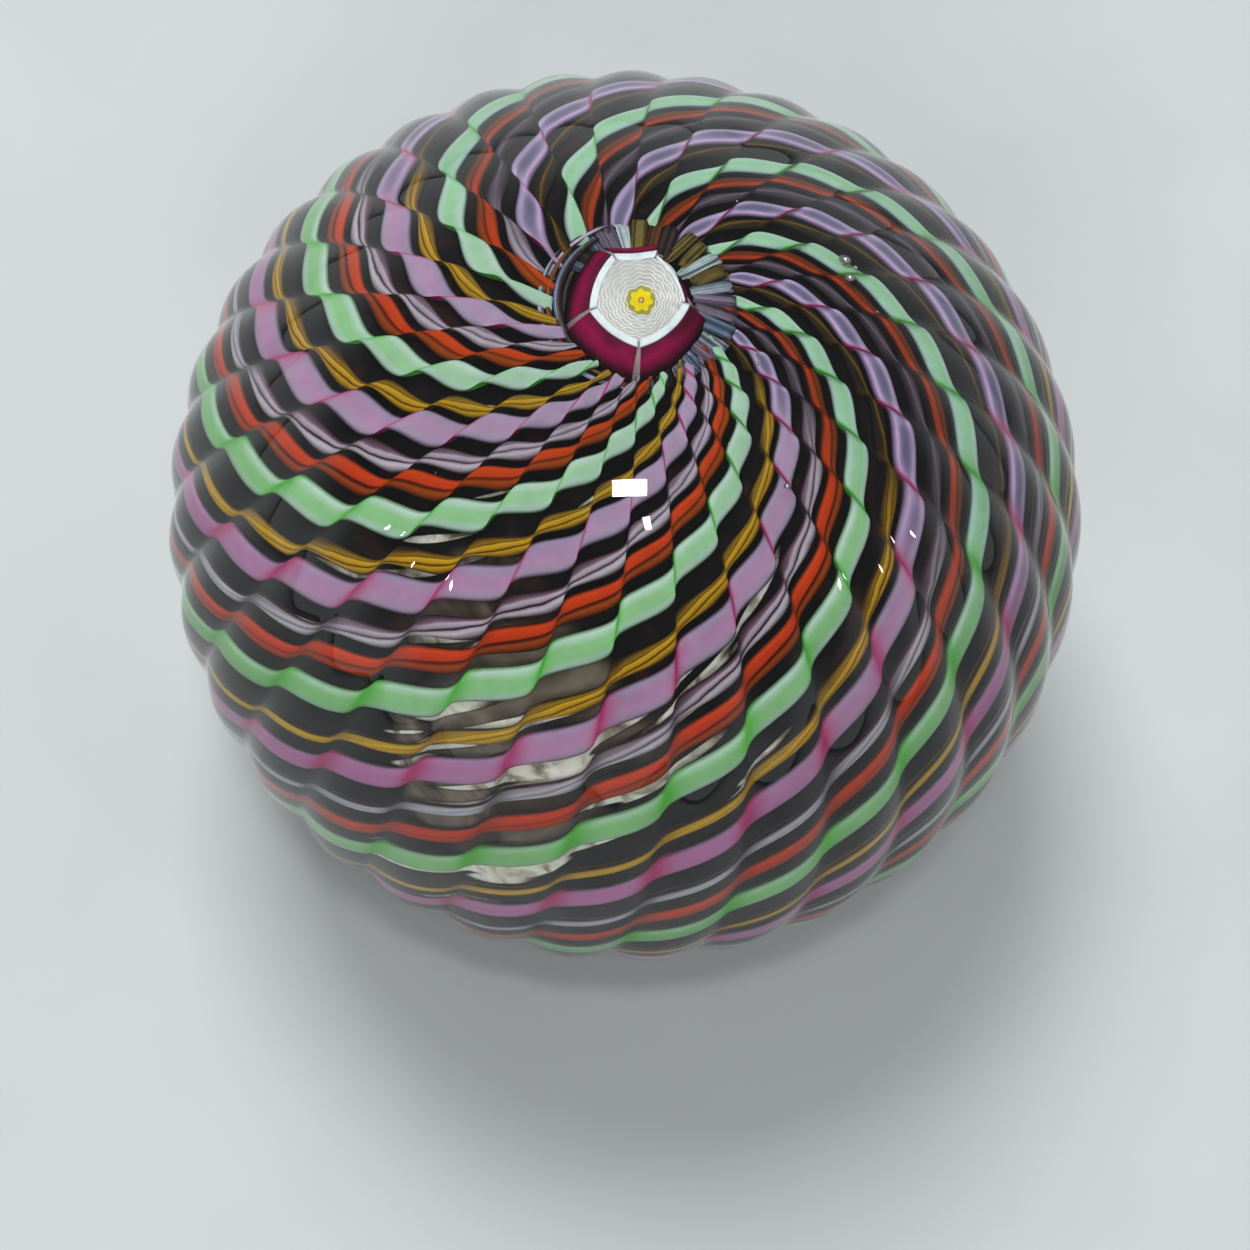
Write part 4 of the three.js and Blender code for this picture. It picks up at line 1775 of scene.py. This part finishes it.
@dataclass(frozen=True)
class Lamp:
    """One rectangular lamp that faces the weight.

    The azimuth is in degrees round from the right, anticlockwise from above. The elevation is
    in degrees up from the floor, and the power in watts. The glass mirrors it if it glints.
    """

    name: str
    azimuth: float
    elevation: float
    distance: float
    size: tuple[float, float]
    power: float
    glints: bool = True

    def hang(self, centre: Vector) -> None:
        """Hangs the lamp, turned towards the weight.

        Args:
            centre: The middle of the weight.
        """
        light = bpy.data.lights.new(self.name, "AREA")
        light.shape = "RECTANGLE"
        light.size, light.size_y = self.size
        light.energy = self.power
        lamp = bpy.data.objects.new(self.name, light)
        bpy.context.scene.collection.objects.link(lamp)
        azimuth, raised = math.radians(self.azimuth), math.radians(self.elevation)
        level = math.cos(raised)
        way = Vector((level * math.cos(azimuth), level * math.sin(azimuth), math.sin(raised)))
        lamp.location = centre + way * self.distance
        lamp.rotation_euler = way.to_track_quat("Z", "Y").to_euler()
        lamp.visible_glossy = self.glints


@dataclass
class Studio:
    """Pale floor, soft light and the camera. Its angles are in degrees."""

    dome: Dome
    elevation: float = 62.96
    roll: float = 2.945
    distance: float = 0.3105
    lens: float = 101.47
    sensor: float = 36.0
    aim_drop: float = 1.85
    floor_half: float = 3.0
    horizon: tuple[float, float] = (0.03, 0.5)
    wall_light: float = 0.85
    ceiling_light: float = 0.20
    room_tint: Colour = (0.90, 0.965, 0.985, 1.0)
    lamps: tuple[Lamp, ...] = (
        Lamp("soft_lamp", 110, 62, 1.2, (0.5, 0.5), 9.6, glints=False),
        Lamp("low_front_lamp", -95, 28, 1.2, (0.6, 0.4), 4.0, glints=False),
        Lamp("front_lamp", -85.7, 79.5, 1.0, (0.125, 0.065), 1.25),
        Lamp("spare_lamp", -74.8, 71.3, 1.0, (0.03, 0.05), 0.2),
        Lamp("left_lamp", -155.1, 34.6, 1.0, (0.03, 0.026), 0.17),
        Lamp("right_lamp", -12.4, 25.2, 1.0, (0.03, 0.034), 0.18))

    def centre(self) -> Vector:
        """The middle of the weight, which the lamps and the camera face."""
        return Vector((0, 0, self.dome.centre_height))

    def floor(self) -> None:
        """Lays a wide pale floor."""
        surface = Surface("floor_paper")
        whole, _ = surface.object_place()
        tone = surface.bands(surface.noise(whole, scale=30.0),
                             ((0.3, srgb(206, 210, 211)), (0.7, srgb(212, 216, 217))))
        surface.paint(tone)
        surface.set(Roughness=0.7)
        mesh = bpy.data.meshes.new("floor")
        half = self.floor_half
        corners = [(-half, -half, 0), (half, -half, 0), (half, half, 0), (-half, half, 0)]
        mesh.from_pydata(corners, [], [(0, 1, 2, 3)])
        mesh.materials.append(surface.material)
        floor = bpy.data.objects.new("floor", mesh)
        bpy.context.scene.collection.objects.link(floor)

    def world(self) -> None:
        """Fills the room with soft light, brighter at the walls than overhead."""
        world = bpy.data.worlds.new("soft_room")
        world.use_nodes = True
        tree = world.node_tree
        way = tree.nodes.new("ShaderNodeTexCoord").outputs["Generated"]
        up = Term(tree, add_node(tree, "ShaderNodeSeparateXYZ", Vector=way).outputs[2])
        background = tree.nodes["Background"]
        background.inputs["Color"].default_value = self.room_tint
        light = up.ramp(*self.horizon, self.wall_light, self.ceiling_light)
        plug(tree, light, background.inputs["Strength"])
        bpy.context.scene.world = world
        bpy.context.scene.view_settings.view_transform = "Standard"

    def camera(self) -> None:
        """Places the camera above the front, looking down at the dome."""
        data = bpy.data.cameras.new("camera")
        data.lens = self.lens
        data.sensor_width = self.sensor
        camera = bpy.data.objects.new("camera", data)
        bpy.context.scene.collection.objects.link(camera)
        raised = math.radians(self.elevation)
        back = Vector((0.0, -math.cos(raised), math.sin(raised)))
        place = self.centre() + back * self.distance
        aim = back.to_track_quat("Z", "Y").to_matrix().to_4x4()
        roll = Matrix.Rotation(math.radians(self.roll), 4, "Z")
        dip = Matrix.Rotation(-math.radians(self.aim_drop), 4, "X")
        camera.matrix_world = Matrix.Translation(place) @ aim @ roll @ dip
        bpy.context.scene.camera = camera

    def build(self) -> None:
        """Sets up the whole studio."""
        self.floor()
        self.world()
        for lamp in self.lamps:
            lamp.hang(self.centre())
        self.camera()


def main() -> None:
    """Builds the paperweight, then the studio round it."""
    dome = Dome.from_frame()
    log.info("dome radius %.2f mm", dome.radius / MILLIMETRE)
    effects = Effects()
    RibbedGlass(dome).build()
    DarkCore(dome, effects).build()
    RibbonCanes(dome, effects).build()
    CentreCane(effects).build()
    Collar(effects).build()
    SeedBubbles(dome, effects).build()
    Studio(dome).build()


if __name__ == "__main__":
    main()
